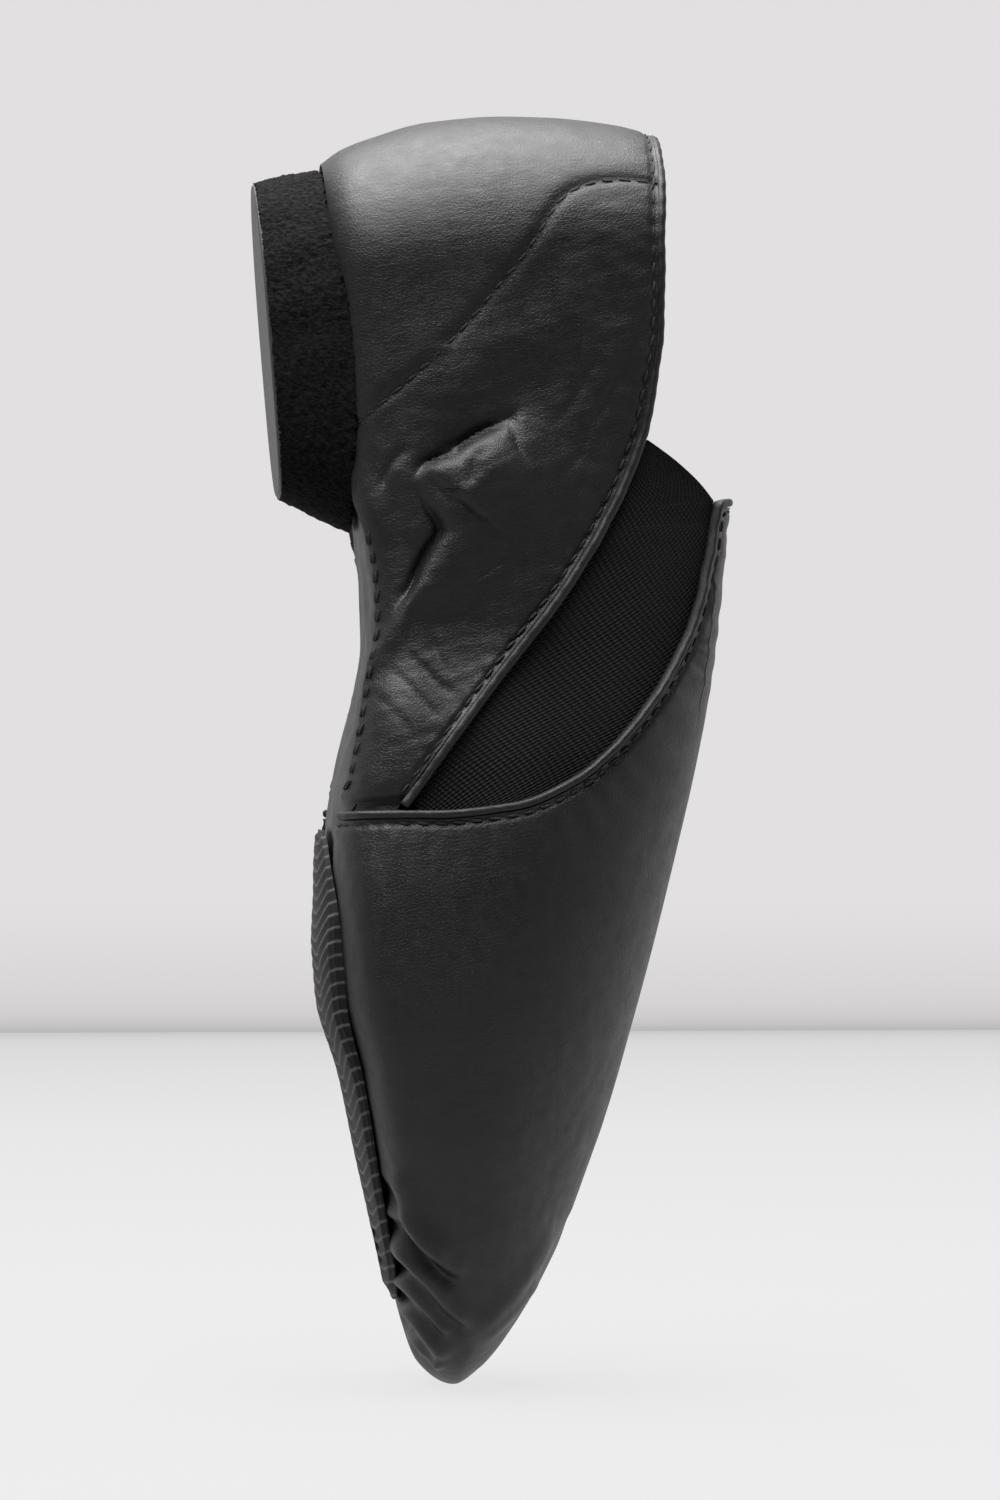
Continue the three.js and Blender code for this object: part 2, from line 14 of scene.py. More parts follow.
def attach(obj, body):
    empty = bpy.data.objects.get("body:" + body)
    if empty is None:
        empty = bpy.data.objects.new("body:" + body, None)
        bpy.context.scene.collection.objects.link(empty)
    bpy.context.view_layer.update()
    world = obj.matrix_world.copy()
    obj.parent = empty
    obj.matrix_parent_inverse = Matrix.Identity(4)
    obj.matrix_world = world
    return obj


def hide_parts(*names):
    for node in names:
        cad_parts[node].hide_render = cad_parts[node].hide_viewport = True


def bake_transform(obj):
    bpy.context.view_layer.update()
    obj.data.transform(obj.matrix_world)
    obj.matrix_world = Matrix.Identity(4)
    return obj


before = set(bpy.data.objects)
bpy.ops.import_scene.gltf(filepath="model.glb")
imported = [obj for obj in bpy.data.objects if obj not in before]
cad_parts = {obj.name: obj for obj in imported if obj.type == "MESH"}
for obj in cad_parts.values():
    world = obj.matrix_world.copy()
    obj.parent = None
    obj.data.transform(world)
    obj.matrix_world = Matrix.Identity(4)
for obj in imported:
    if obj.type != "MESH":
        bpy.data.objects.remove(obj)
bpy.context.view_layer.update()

MM = 0.001
LATERAL = -1
MEDIAL = 1
SIDES = {"lateral": LATERAL, "medial": MEDIAL}

# ------ the shoe's shape, as in the CAD, but with FRONT_EDGE running on under the vamp
FOREPART_SOLE = 2.3
GAP = 0.3
BASE = FOREPART_SOLE + GAP
SEAT_HEIGHT = 12.8
HEEL_WIDTH = 57
BALL_WIDTH = 84
SEAT_X = -10
TOE_X = 175
HEEL_FAN = 45
TOE_FAN = 52
BACK_STATION = SEAT_X - HEEL_FAN
TOE_STATION = TOE_X + TOE_FAN
TOE_REACH = 33

LIFT = [(-40, 1), (28, 1), (45, 1.08), (62, 1), (73, 0.72), (85, 0.34), (97, 0.07), (107, 0), (208, 0)]
SPRING = [(-40, 0), (130, 0), (145, 2.3), (163, 4.3), (175, 5.8), (208, 9)]
WIDEST = [(-40, 33), (40, 34), (65, 30), (90, 22), (115, 17), (135, 16.5), (155, 17), (175, 20)]
CROWN = [
    (-40, 114), (-10, 111), (15, 100), (30, 91.5), (41, 88.4), (56, 85.6), (73, 82.2),
    (90, 77.7), (108, 72), (125, 66.3), (142, 60.2), (159, 53.6), (175, 46.3),
]
HEEL_SHARE = [(-40, 0.5), (15, 0.5), (40, 0.5), (65, 0.53)]
BALL_SHARE = [(65, 0.36), (90, 0.43), (115, 0.487), (135, 0.5), (155, 0.47), (175, 0.4)]
CENTRE = [(-40, 0), (20, 0), (65, -1.5), (100, 0), (135, 1.5), (175, 4), (208, 5.5)]
LOWER_POWER = [(-40, 5), (30, 5), (70, 3.6), (208, 3.4)]
BACK = [(0, -31.5), (5.5, -34.8), (11.5, -36.6), (22, -38.7), (32, -39), (45, -38), (59, -35.4), (67, -32.6)]
TOE_REACH_AT = [(-90, 0), (-60, 19), (-35, 28), (0, 33), (20, 30.2), (45, 20.5), (70, 8.5), (90, 0)]
TOE_HEIGHT_AT = [
    (-90, 8.2), (-60, 10.9), (-35, 13.6), (0, 20.5), (20, 25.7), (45, 34.5), (70, 42.3), (90, 46.3),
]
TOE_MIDDLE = 20.5
TOPLINE = [(-40, 80.4), (-27, 79.9), (-11, 78.2), (6, 76.6), (20, 73.4), (26, 71.6)]
FRONT_EDGE = [(26, 71.6), (34, 67.8), (45, 61), (55, 53.4), (72, 37.8), (82, 28.8), (90, 21.8), (98, 14.8)]
MESH_TOP = [(26, 71.6), (32, 79.2), (36, 83.4), (40, 86.5)]
THROAT = [
    (39, 88.6), (39.6, 85.2), (45.3, 83.4), (53.8, 80.8), (63.3, 77.1), (71, 72.4), (82, 62.7),
    (90.3, 51.5), (94.4, 38.7), (94.8, 27.8), (94, 16.3), (93.6, 8), (93.6, 2.3),
]
MARGIN_ANGLE = [(-55, -60), (30, -60), (40, -48), (85, -46), (95, -62), (175, -64), (227, -78)]
QUARTER_FRONT = 92.4
# the quarters run on under the vamp as far as this
QUARTER_END = QUARTER_FRONT + 5

LEATHER = 1.0
LINING = 0.6
MESH = 0.5
LINING_OUT = 2.2
LINING_IN = LINING_OUT + LINING
FOAM_OUT = LINING_IN + 0.2 + 1.2 + 0.4
FOAM = 1.6
SOCK_OUT = FOAM_OUT + FOAM + 0.15
SOCK = 0.8
ARCH_OUT = 1.3
ARCH_LEATHER = 0.6
EDGE_HEIGHT = 1.7
EDGE_END = 90


def curve(pairs, at):
    """Smooth curve through (position, value) pairs, never overshooting, for an array of positions."""
    xs, ys = np.array(pairs, float).T
    slope = np.diff(ys) / np.diff(xs)
    tangent = np.zeros_like(ys)
    tangent[0] = slope[0]
    tangent[-1] = slope[-1]
    before, after = slope[:-1], slope[1:]
    total = np.where(before * after > 0, before + after, 1.0)
    tangent[1:-1] = np.where(before * after > 0, 2 * before * after / total, 0.0)
    at = np.clip(np.asarray(at, float), xs[0], xs[-1])
    k = np.clip(np.searchsorted(xs, at, "right") - 1, 0, len(xs) - 2)
    span = xs[k + 1] - xs[k]
    t = (at - xs[k]) / span
    rise = t * t * (3 - 2 * t)
    bow = tangent[k] * t * (1 - t) ** 2 - tangent[k + 1] * t * t * (1 - t)
    return ys[k] * (1 - rise) + ys[k + 1] * rise + span * bow


def run(steps):
    """Distance from the start at each point, from the lengths of the steps between the points."""
    return np.concatenate([[0], np.cumsum(steps)])


def unit(vectors):
    return vectors / np.maximum(np.linalg.norm(vectors, axis=-1, keepdims=True), 1e-9)


def square_to(vectors, along):
    """The vectors without their part along given unit vectors."""
    return vectors - along * np.sum(vectors * along, axis=-1, keepdims=True)


def mix(a, b, t):
    return a + (b - a) * t


def smooth(t):
    t = np.clip(t, 0, 1)
    return t * t * (3 - 2 * t)


def bottom_at(x):
    return BASE + curve(LIFT, x) * (SEAT_HEIGHT - BASE) + curve(SPRING, x)


def half_width_at(x):
    return mix(curve(HEEL_SHARE, x) * HEEL_WIDTH, curve(BALL_SHARE, x) * BALL_WIDTH, smooth((x - 50) / 30))


def section(x, angle, inset):
    """Half width and height of a cross-section; angle -90 is the underside, 90 the crown."""
    widest = curve(WIDEST, x)
    up = np.sin(np.radians(angle))
    out = np.maximum(np.cos(np.radians(angle)), 0)
    exponent = np.where(angle < 0, 2 / curve(LOWER_POWER, x), 1.0)
    reach = np.where(angle < 0, widest - bottom_at(x), curve(CROWN, x) - widest)
    half = (half_width_at(x) - inset) * out**exponent
    return half, widest + (reach - inset) * np.sign(up) * np.abs(up) ** exponent


def angle_at_height(x, z):
    widest = curve(WIDEST, x)
    up = z >= widest
    reach = np.where(up, curve(CROWN, x) - widest, bottom_at(x) - widest)
    share = np.clip((z - widest) / reach, 0, 1)
    exponent = np.where(up, 1.0, 2 / curve(LOWER_POWER, x))
    return np.where(up, 1, -1) * np.degrees(np.arcsin(share ** (1 / exponent)))


def toe_reach(angle, inset):
    return curve(TOE_REACH_AT, angle) * (1 - inset / TOE_REACH)


def toe_height(angle, inset):
    full = np.where(angle < 0, TOE_MIDDLE - TOE_HEIGHT_AT[0][1], TOE_HEIGHT_AT[-1][1] - TOE_MIDDLE)
    return TOE_MIDDLE + (curve(TOE_HEIGHT_AT, angle) - TOE_MIDDLE) * (1 - inset / full)


def toe_pattern(turn, angle, inset):
    side_half, side_z = section(TOE_X, angle, inset)
    before_half, before_z = section(TOE_X - 2, angle, inset)
    forward = toe_reach(angle, inset) * np.sin(turn)
    carried = forward * np.cos(turn) ** 2 / 2
    half = side_half * np.cos(turn) + (side_half - before_half) * carried
    z = mix(side_z, toe_height(angle, inset), np.sin(turn) ** 2) + (side_z - before_z) * carried
    return TOE_X + forward, half, z


def pattern(station, angle, inset=0.0):
    """x, half width and height on the body, for arrays of stations and angles."""
    station, angle, inset = np.broadcast_arrays(
        np.asarray(station, float), np.asarray(angle, float), np.asarray(inset, float)
    )
    half, z = section(station, angle, inset)
    turn = np.radians(90 * np.clip((station - BACK_STATION) / HEEL_FAN, 0, 1))
    seat_half, seat_z = section(np.full_like(station, SEAT_X), angle, inset)
    depth = SEAT_X - curve(BACK, seat_z - SEAT_HEIGHT) - inset
    toe_turn = np.radians(90 * np.clip((station - TOE_X) / TOE_FAN, 0, 1))
    toe_x, toe_half, toe_z = toe_pattern(toe_turn, angle, inset)
    heel = station < SEAT_X
    toe = station > TOE_X
    x = np.where(heel, SEAT_X - depth * np.cos(turn), np.where(toe, toe_x, station))
    half = np.where(heel, seat_half * np.sin(turn), np.where(toe, toe_half, half))
    return x, half, np.where(heel, seat_z, np.where(toe, toe_z, z))


def body(station, angle, inset, side):
    """Points on a layer of the body, side -1 outer and 1 inner side of the foot."""
    x, half, z = pattern(station, angle, inset)
    return np.stack([x, curve(CENTRE, x) + side * half, z], axis=-1)


def underside(x, offset, inset):
    """Height of the underside over plan positions, by bisection on the section angle."""
    x, offset = np.broadcast_arrays(np.asarray(x, float), np.abs(np.asarray(offset, float)))
    low = np.full(x.shape, -90.0)
    high = np.zeros(x.shape)

    def spread(angle):
        half, z = section(np.clip(x, SEAT_X, TOE_X), angle, inset)
        plain = offset / np.maximum(half, 1e-6)
        heel = np.hypot((SEAT_X - x) / (SEAT_X - curve(BACK, z - SEAT_HEIGHT)), plain)
        forward = np.clip((x - TOE_X) / np.maximum(toe_reach(angle, inset), 1e-6), 0, 1)
        toe_half = toe_pattern(np.arcsin(forward), angle, inset)[1]
        toe = np.where(forward >= 1, 2.0, offset / np.maximum(toe_half, 1e-6))
        return np.where(x < SEAT_X, heel, np.where(x > TOE_X, toe, plain))

    for _ in range(36):
        middle = (low + high) / 2
        outside = spread(middle) > 1
        low = np.where(outside, middle, low)
        high = np.where(outside, high, middle)
    forward = np.clip((x - TOE_X) / np.maximum(toe_reach(high, inset), 1e-6), 0, 1)
    toe_z = toe_pattern(np.arcsin(forward), high, inset)[2]
    return np.where(x > TOE_X, toe_z, section(np.clip(x, SEAT_X, TOE_X), high, inset)[1])


def upper_edge(x):
    return np.where(x < FRONT_EDGE[0][0], curve(TOPLINE, x), curve(FRONT_EDGE, x))


def lowered_edge(x, drop):
    """Height of the finished edge lowered by a drop that is measured square to it."""
    at = np.minimum(x, EDGE_END - 1)
    slope = upper_edge(at + 0.5) - upper_edge(at - 0.5)
    return upper_edge(x) - drop * np.hypot(1, slope)


def edge_angle(station, drop):
    """Section angle of the quarter's upper edge, a given drop below the finished edge."""
    probe = np.maximum(station, SEAT_X)
    angle = angle_at_height(probe, lowered_edge(probe, drop))
    for _ in range(4):
        angle = angle_at_height(probe, lowered_edge(pattern(station, angle)[0], drop))
    return angle


def place_at(x, z):
    """Station and section angle of a point of the body given in the side view."""
    angle = angle_at_height(np.maximum(x, SEAT_X), z)
    depth = SEAT_X - curve(BACK, z - SEAT_HEIGHT)
    turn = np.degrees(np.arccos(np.clip((SEAT_X - x) / depth, 0, 1)))
    return np.where(x < SEAT_X, BACK_STATION + HEEL_FAN * turn / 90, x), angle


THROAT_LOW = float(curve(MARGIN_ANGLE, QUARTER_END))


def throat_at(index):
    """x and z in the side view at fractional places in the list THROAT."""
    return [curve(list(enumerate(values)), index) for values in zip(*THROAT)]


def throat_line(set_back, steps=96):
    """(share of the way from under edge to crown, station) along the throat, set back into the vamp."""
    last = len(THROAT) - 1
    along = np.linspace(0, last, steps + 1)
    behind_x, behind_z = throat_at(np.maximum(along - 0.2, 0))
    ahead_x, ahead_z = throat_at(np.minimum(along + 0.2, last))
    dx = ahead_x - behind_x
    dz = ahead_z - behind_z
    length = np.hypot(dx, dz)
    x, z = throat_at(along)
    x = x - set_back * dz / length
    z = z + set_back * np.maximum(dx, 0) / length
    share = np.clip((angle_at_height(x, z) - THROAT_LOW) / (90 - THROAT_LOW), 0, 1)
    line = []
    for value, station in zip(share, x):
        if not line or value < line[-1][0] - 1e-4:
            line.append((value, station))
    return line[::-1]


# ------ meshes
def link(obj):
    bpy.context.scene.collection.objects.link(obj)


def mesh_object(name, points, faces, uvs, sharp_pairs, material):
    """Object from points in millimetres; uvs holds one (u, v) pair per face corner, or is None."""
    mesh = bpy.data.meshes.new(name)
    mesh.from_pydata((np.asarray(points) * MM).tolist(), [], [list(map(int, f)) for f in faces])
    if uvs is not None:
        layer = mesh.uv_layers.new(name="UVMap")
        layer.data.foreach_set("uv", np.asarray(uvs, np.float32).ravel())
    mesh.validate()
    work = bmesh.new()
    work.from_mesh(mesh)
    bmesh.ops.recalc_face_normals(work, faces=work.faces)
    work.to_mesh(mesh)
    work.free()
    mesh.polygons.foreach_set("use_smooth", [True] * len(mesh.polygons))
    if len(sharp_pairs):
        wanted = {tuple(sorted(map(int, pair))) for pair in sharp_pairs}
        flags = [tuple(sorted(edge.vertices)) in wanted for edge in mesh.edges]
        mesh.attributes.new("sharp_edge", "BOOLEAN", "EDGE").data.foreach_set("value", flags)
    mesh.update()
    obj = bpy.data.objects.new(name, mesh)
    link(obj)
    mesh.materials.append(material)
    return obj


def slab(name, face_a, face_b, material):
    """Closed sheet between two matching grids of points; coinciding grid points are welded."""
    rows, columns = face_a.shape[:2]
    keys = np.round(face_a.reshape(-1, 3), 3)
    _, first, inverse = np.unique(keys, axis=0, return_index=True, return_inverse=True)
    index = inverse.reshape(rows, columns)
    count = len(first)
    points = np.concatenate([face_a.reshape(-1, 3)[first], face_b.reshape(-1, 3)[first]])
    corner = np.arange(rows * columns).reshape(rows, columns)

    def corners(grid):
        cells = [grid[:-1, :-1], grid[:-1, 1:], grid[1:, 1:], grid[1:, :-1]]
        return np.stack(cells, axis=-1).reshape(-1, 4)

    faces, face_uvs, used = [], [], set()
    flat_uv = arc_uv(face_a).reshape(-1, 2)
    for cell, places in zip(corners(index), corners(corner)):
        kept = [k for k in range(4) if cell[k] != cell[k - 1]]
        if len(kept) < 3:
            continue
        loop = [cell[k] for k in kept]
        loop_uv = [flat_uv[places[k]] for k in kept]
        for start, end in zip(loop, loop[1:] + loop[:1]):
            if (end, start) in used:
                used.remove((end, start))
            else:
                used.add((start, end))
        faces.append(loop)
        face_uvs.extend(loop_uv)
        faces.append([count + k for k in loop[::-1]])
        face_uvs.extend(loop_uv[::-1])
    point_uv = flat_uv[first]
    sharp = []
    for start, end in used:
        faces.append([end, start, count + start, count + end])
        face_uvs.extend([point_uv[end], point_uv[start], point_uv[start], point_uv[end]])
        sharp.append((start, end))
        sharp.append((count + start, count + end))
    return mesh_object(name, points, faces, face_uvs, sharp, material)


def arc_uv(grid):
    """Texture coordinates in millimetres, measured along the rows and columns of a grid."""
    along = np.linalg.norm(np.diff(grid, axis=0), axis=-1).mean(axis=1)
    across = np.linalg.norm(np.diff(grid, axis=1), axis=-1).mean(axis=0)
    return np.stack(np.meshgrid(run(along), run(across), indexing="ij"), axis=-1)


def grid_normals(grid, side):
    """Outward unit normals of a grid of points lying on the body."""
    normal = np.cross(np.gradient(grid, axis=0), np.gradient(grid, axis=1))
    return -side[..., None] * unit(normal)


def sheet(name, station, angle, side, inset, thickness, relief, material, wind=None):
    """Layer of the body over a grid of stations and angles, with relief in millimetres."""
    side = np.broadcast_to(np.asarray(side, float), station.shape)
    wind = side if wind is None else np.full(station.shape, float(wind))
    base = body(station, angle, inset, side)
    # every layer reads its relief on the outer surface, so that a lining sinks where its leather does
    height = relief(body(station, angle, 0.0, side), side)[..., None] if relief else 0.0
    normal = grid_normals(base, wind)
    inner = body(station, angle, inset + thickness, side) + normal * height
    return slab(name, base + normal * height, inner, material)


# ------ relief
def near_line(x, z, line):
    """Signed distance to an open line in the side view, and the share of the way along it."""
    best = np.full(x.shape, np.inf)
    signed = np.zeros(x.shape)
    share = np.zeros(x.shape)
    points = np.array(line, float)
    lengths = np.linalg.norm(np.diff(points, axis=0), axis=1)
    before = run(lengths)
    for k, length in enumerate(lengths):
        ax, az = points[k]
        dx, dz = (points[k + 1] - points[k]) / length
        t = np.clip((x - ax) * dx + (z - az) * dz, 0, length)
        off_x, off_z = x - ax - dx * t, z - az - dz * t
        distance = np.hypot(off_x, off_z)
        closer = distance < best
        best = np.where(closer, distance, best)
        signed = np.where(closer, np.sign(dx * off_z - dz * off_x) * distance, signed)
        share = np.where(closer, (before[k] + t) / before[-1], share)
    return signed, share


def smooth_line(line, steps=24):
    """A line's corners rounded off with a smooth curve through its points."""
    points = np.array(line, float)
    length = run(np.linalg.norm(np.diff(points, axis=0), axis=1))
    at = np.linspace(0, length[-1], steps)
    return np.stack([curve(list(zip(length, points[:, k])), at) for k in (0, 1)], axis=-1)


def pleat(x, z, line, width, depth):
    """Crease along a line, with the leather pushed up on its left-hand side."""
    signed, share = near_line(x, z, smooth_line(line))
    ends = smooth(np.minimum(share, 1 - share) * 5)
    groove = -np.exp(-((signed / width) ** 2))
    swell = PLEAT_LIP * np.exp(-(((signed - 2 * width) / (1.6 * width)) ** 2))
    return depth * ends * (groove + swell)


def ridge(x, z, line, width, height):
    signed, share = near_line(x, z, smooth_line(line))
    return height * smooth(np.minimum(share, 1 - share) * 4) * np.exp(-((signed / width) ** 2))


def ripple(points, size, seed, waves=18):
    """Smooth random unevenness of about unit height, with features of a given size in millimetres."""
    draw = np.random.default_rng(seed)
    total = np.zeros(points.shape[:-1])
    for _ in range(waves):
        direction = draw.normal(size=3)
        direction *= draw.uniform(0.6, 1.5) * 2 * math.pi / size / np.linalg.norm(direction)
        total += np.sin(points @ direction + draw.uniform(0, 2 * math.pi))
    return total / math.sqrt(waves)


# The stitch line round the heel counter, in the side view.
COUNTER_LINE = [
    (-22.1, 79.7), (-23.1, 74.5), (-23.6, 70.7), (-23.5, 66.8), (-22.9, 62.8),
    (-20.9, 58.8), (-17.3, 55.6), (-12.7, 52.3), (-7.8, 48), (-3.7, 43.7),
    (0.8, 39.5), (6.5, 33.2), (11.5, 26.9), (15.8, 20.7), (20.1, 14.5),
]
# distance of the sewing from a finished edge, and of one stitch from the next
STITCH_IN = 2.6
STITCH_PITCH = 3.5


def edge_line():
    x = np.concatenate([np.linspace(-39, 20, 20), np.linspace(23, 92, 32)])
    return np.stack([x, upper_edge(x)], axis=-1)


EDGE_LINE = edge_line()


# Soft swells and hollows of the empty quarter: centre x and z, reach along x and z, height.
QUARTER_SWELLS = [
    (31, 40, 8, 12, 1.7), (43, 37, 9, 9, 1.0), (36, 15, 7, 6, 1.3), (75, 18, 11, 8, 1.5),
    (60, 36, 9, 12, -2.0), (38, 21, 9, 3.5, -1.1), (16, 52, 8, 10, -0.9), (10, 34, 9, 9, 0.8),
]
# Sharp folds: line, width of the groove, reach of the swell beside it, height.
QUARTER_TUCKS = [
    ([(19.5, 47), (22.5, 40.5), (26, 32.5), (29.5, 26.5), (33, 25)], 1.0, 11.0, 3.4),
    ([(31, 25), (36.5, 27), (41, 29.3), (45, 27), (50.5, 22.5), (58, 19)], 0.9, 10.0, 2.8),
    ([(17.5, 48), (21, 45), (26, 45.5), (31, 48)], 0.8, 4.0, 0.9),
    ([(26, 40), (30, 36.5), (35, 35.5)], 0.8, 3.5, 0.7),
    ([(24.5, 26), (28, 20.5), (33, 18)], 1.0, 4.0, 0.9),
    ([(63, 20), (66.5, 23.5), (70, 26), (75, 33)], 0.6, 3.0, 0.55),
    ([(58, 25), (64, 26.5), (70, 30.5)], 0.6, 2.6, 0.35),
    ([(66, 17), (72, 22), (79, 27)], 0.6, 2.6, 0.35),
    ([(70, 13), (77, 19), (83, 22)], 0.6, 2.6, 0.25),
    ([(47, 44), (50, 39), (52, 33)], 0.6, 3.0, 0.3),
    ([(28, 57), (22, 62), (11, 69)], 0.7, 3.5, 0.4),
    ([(25, 50), (19, 57), (6, 65)], 0.8, 3.5, 0.4),
    ([(36, 47), (32, 54), (25, 61)], 0.7, 3.0, 0.3),
]


def tuck(x, z, line, width, reach, height):
    """Sharp fold: a groove with the leather swelling up steeply on its left and dying away gently."""
    signed, share = near_line(x, z, smooth_line(line))
    ends = smooth(np.minimum(share, 1 - share) * 3)
    rising = np.maximum(signed, 0)
    swell = (1 - np.exp(-rising / (2.2 * width))) * np.exp(-((rising / reach) ** 1.5))
    groove = -0.4 * np.exp(-((signed / width) ** 2)) - 0.3 * np.exp(-np.abs(signed) / (2.5 * width))
    return height * ends * (swell + groove)


TOPLINE_PUCKERS = 40
THROAT_PUCKERS = 37


def sewn(away, share, puckers):
    """Groove of the sewing beside a finished edge, with a number of puckers along it."""
    gathered = np.exp(-(((away - STITCH_IN - 0.6) / 1.5) ** 2))
    groove = 0.4 * np.exp(-(((away - STITCH_IN) / 0.6) ** 2))
    return 0.1 * np.sin(share * 2 * math.pi * puckers) * gathered - groove


def quarter_relief(points, side):
    x, z = points[..., 0], points[..., 2]
    # the inner side of the foot creases a little further forward and lower
    sx = np.where(side < 0, x, x - 5 + 3 * np.sin(z / 17))
    sz = np.where(side < 0, z, z - 3 + 2 * np.sin(x / 13))
    waver = 0.45 * ripple(points, 14, 6)
    height = 0.0
    for x0, z0, reach_x, reach_z, lift in QUARTER_SWELLS:
        height = height + lift * np.exp(-(((sx - x0) / reach_x) ** 2) - ((sz - z0) / reach_z) ** 2)
    for line, width, reach, lift in QUARTER_TUCKS:
        height = height + tuck(sx + waver, sz + 0.6 * waver, line, width, reach, lift)
    height += ridge(sx, sz, [(48, 27), (55.8, 21.8), (62, 18), (69, 13), (77, 9.6), (90, 7)], 1.8, 0.9)
    # fine wrinkles gather where the foot bends, and fade on the stiffened heel
    signed, _ = near_line(x, z, smooth_line(COUNTER_LINE, 40))
    soft = smooth(signed / 8 + 0.1)
    stretched = points * np.array([1.0, 0.4, 0.45])
    wrinkles = 0.06 * ripple(stretched, 3.2, 3) + 0.14 * ripple(points, 13, 4)
    height += soft * (wrinkles + 0.3 * ripple(points, 34, 9))
    # stiffener edge, then the groove of the counter stitching
    height += 0.35 * smooth(-signed / 3) - 0.42 * np.exp(-((signed / 0.7) ** 2))
    drop, share = near_line(x, z, EDGE_LINE)
    height *= smooth(np.abs(drop) / 5 + 0.3)
    height += sewn(np.abs(drop), share, TOPLINE_PUCKERS)
    # flat where the vamp lies over it
    return height * smooth((92 - x) / 4)


# Gathers that run back from the sole's front edge under the toe: line, width, depth.
TOE_PLEATS = [
    ([(163, 7), (171, 10.5), (177.6, 13.2), (184, 19)], 1.4, 1.5),
    ([(171, 6.5), (176, 11.5), (182, 16), (187, 22)], 1.3, 1.6),
    ([(178, 6.5), (184, 12), (192, 18), (197, 23)], 1.3, 1.7),
    ([(185, 7), (190, 12), (198, 18.5)], 1.2, 1.6),
    ([(191, 8.5), (196, 12.5), (203, 17)], 1.1, 1.4),
    ([(197, 10.5), (201, 13.3), (205, 17)], 0.8, 1.1),
]
PLEAT_LIP = 0.9


def vamp_relief(points, side):
    x, z = points[..., 0], points[..., 2]
    sx = np.where(side < 0, x, x + 3 * np.sin(z / 8))
    calm = smooth((70 - z) / 30)
    height = calm * (0.04 * ripple(points * np.array([0.5, 1, 1]), 5, 11) + 0.25 * ripple(points, 34, 12))
    for line, width, depth in TOE_PLEATS:
        height = height + pleat(sx, z, line, width, depth)
    height += ridge(sx, z, [(176, 42.4), (187.1, 33.8), (198.7, 21.1)], 2.2, 1.2)
    height += ridge(sx, z, [(186.6, 39.6), (193, 32), (199.9, 23.9)], 1.4, 0.8)
    # the two sides differ, so their gathers fade out before they meet under the toe
    height *= smooth(np.abs(points[..., 1] - curve(CENTRE, x)) / 6)
    # small puckers under the throat stitching
    signed, share = near_line(x, z, throat_side_line())
    away = np.abs(signed)
    puckers = np.sin(share * 2 * math.pi * 19 + 2 * np.sin(share * 23))
    height += 0.12 * puckers * np.exp(-(((away - 6) / 5) ** 2))
    return height + sewn(away, share, THROAT_PUCKERS)


def vamp_lining_relief(points, side):
    """The lining sinks with the leather's pleats and stays flat under its ridges."""
    return np.minimum(vamp_relief(points, side), 0)


def throat_side_line():
    return np.stack(throat_at(np.linspace(0, len(THROAT) - 1, 60)), axis=-1)


# ------ materials
class Shader:
    """Small helper for building a node material."""

    def __init__(self, name, **sockets):
        self.material = bpy.data.materials.new(name)
        self.material.use_nodes = True
        self.tree = self.material.node_tree
        self.surface = self.tree.nodes["Principled BSDF"]
        for key, value in sockets.items():
            self.surface.inputs[key.replace("_", " ")].default_value = value
        self.place = self.tree.nodes.new("ShaderNodeTexCoord")

    def node(self, kind, sockets=None, **settings):
        made = self.tree.nodes.new("ShaderNode" + kind)
        for key, value in settings.items():
            setattr(made, key, value)
        for key, value in (sockets or {}).items():
            if isinstance(value, bpy.types.NodeSocket):
                self.tree.links.new(value, made.inputs[key])
            else:
                made.inputs[key].default_value = value
        return made

    def noise(self, per_mm, detail=3.0, stretch=(1, 1, 1)):
        """Noise with features of about 1 / per_mm millimetres, in the shoe's own space."""
        scale = tuple(1000 * per_mm * s for s in stretch)
        where = self.node("Mapping", {"Vector": self.place.outputs["Object"], "Scale": scale})
        sockets = {"Vector": where.outputs[0], "Scale": 1.0, "Detail": detail}
        return self.node("TexNoise", sockets).outputs["Fac"]

    def pores(self, per_mm):
        scale = (1000 * per_mm,) * 3
        where = self.node("Mapping", {"Vector": self.place.outputs["Object"], "Scale": scale})
        sockets = {"Vector": where.outputs[0], "Scale": 1.0}
        cells = self.node("TexVoronoi", sockets, feature="DISTANCE_TO_EDGE")
        return self.ramp(cells.outputs["Distance"], 0.0, 0.16)

    def ramp(self, value, low, high, to_low=0.0, to_high=1.0):
        sockets = {"Value": value, "From Min": low, "From Max": high, "To Min": to_low, "To Max": to_high}
        return self.node("MapRange", sockets).outputs[0]

    def math(self, operation, a, b=0.0):
        return self.node("Math", {0: a, 1: b}, operation=operation).outputs[0]

    def blend(self, factor, dark, light):
        """Mixed colour; a mix node has several sockets of one name, so they are taken by number."""
        made = self.tree.nodes.new("ShaderNodeMix")
        made.data_type = "RGBA"
        self.tree.links.new(factor, made.inputs[0])
        made.inputs[6].default_value = (*dark, 1)
        made.inputs[7].default_value = (*light, 1)
        return made.outputs[2]

    def bump(self, height, distance_mm, strength=1.0, under=None):
        sockets = {"Height": height, "Distance": distance_mm * MM, "Strength": strength}
        if under is not None:
            sockets["Normal"] = under
        return self.node("Bump", sockets).outputs[0]

    def feed(self, key, value):
        self.tree.links.new(value, self.surface.inputs[key])


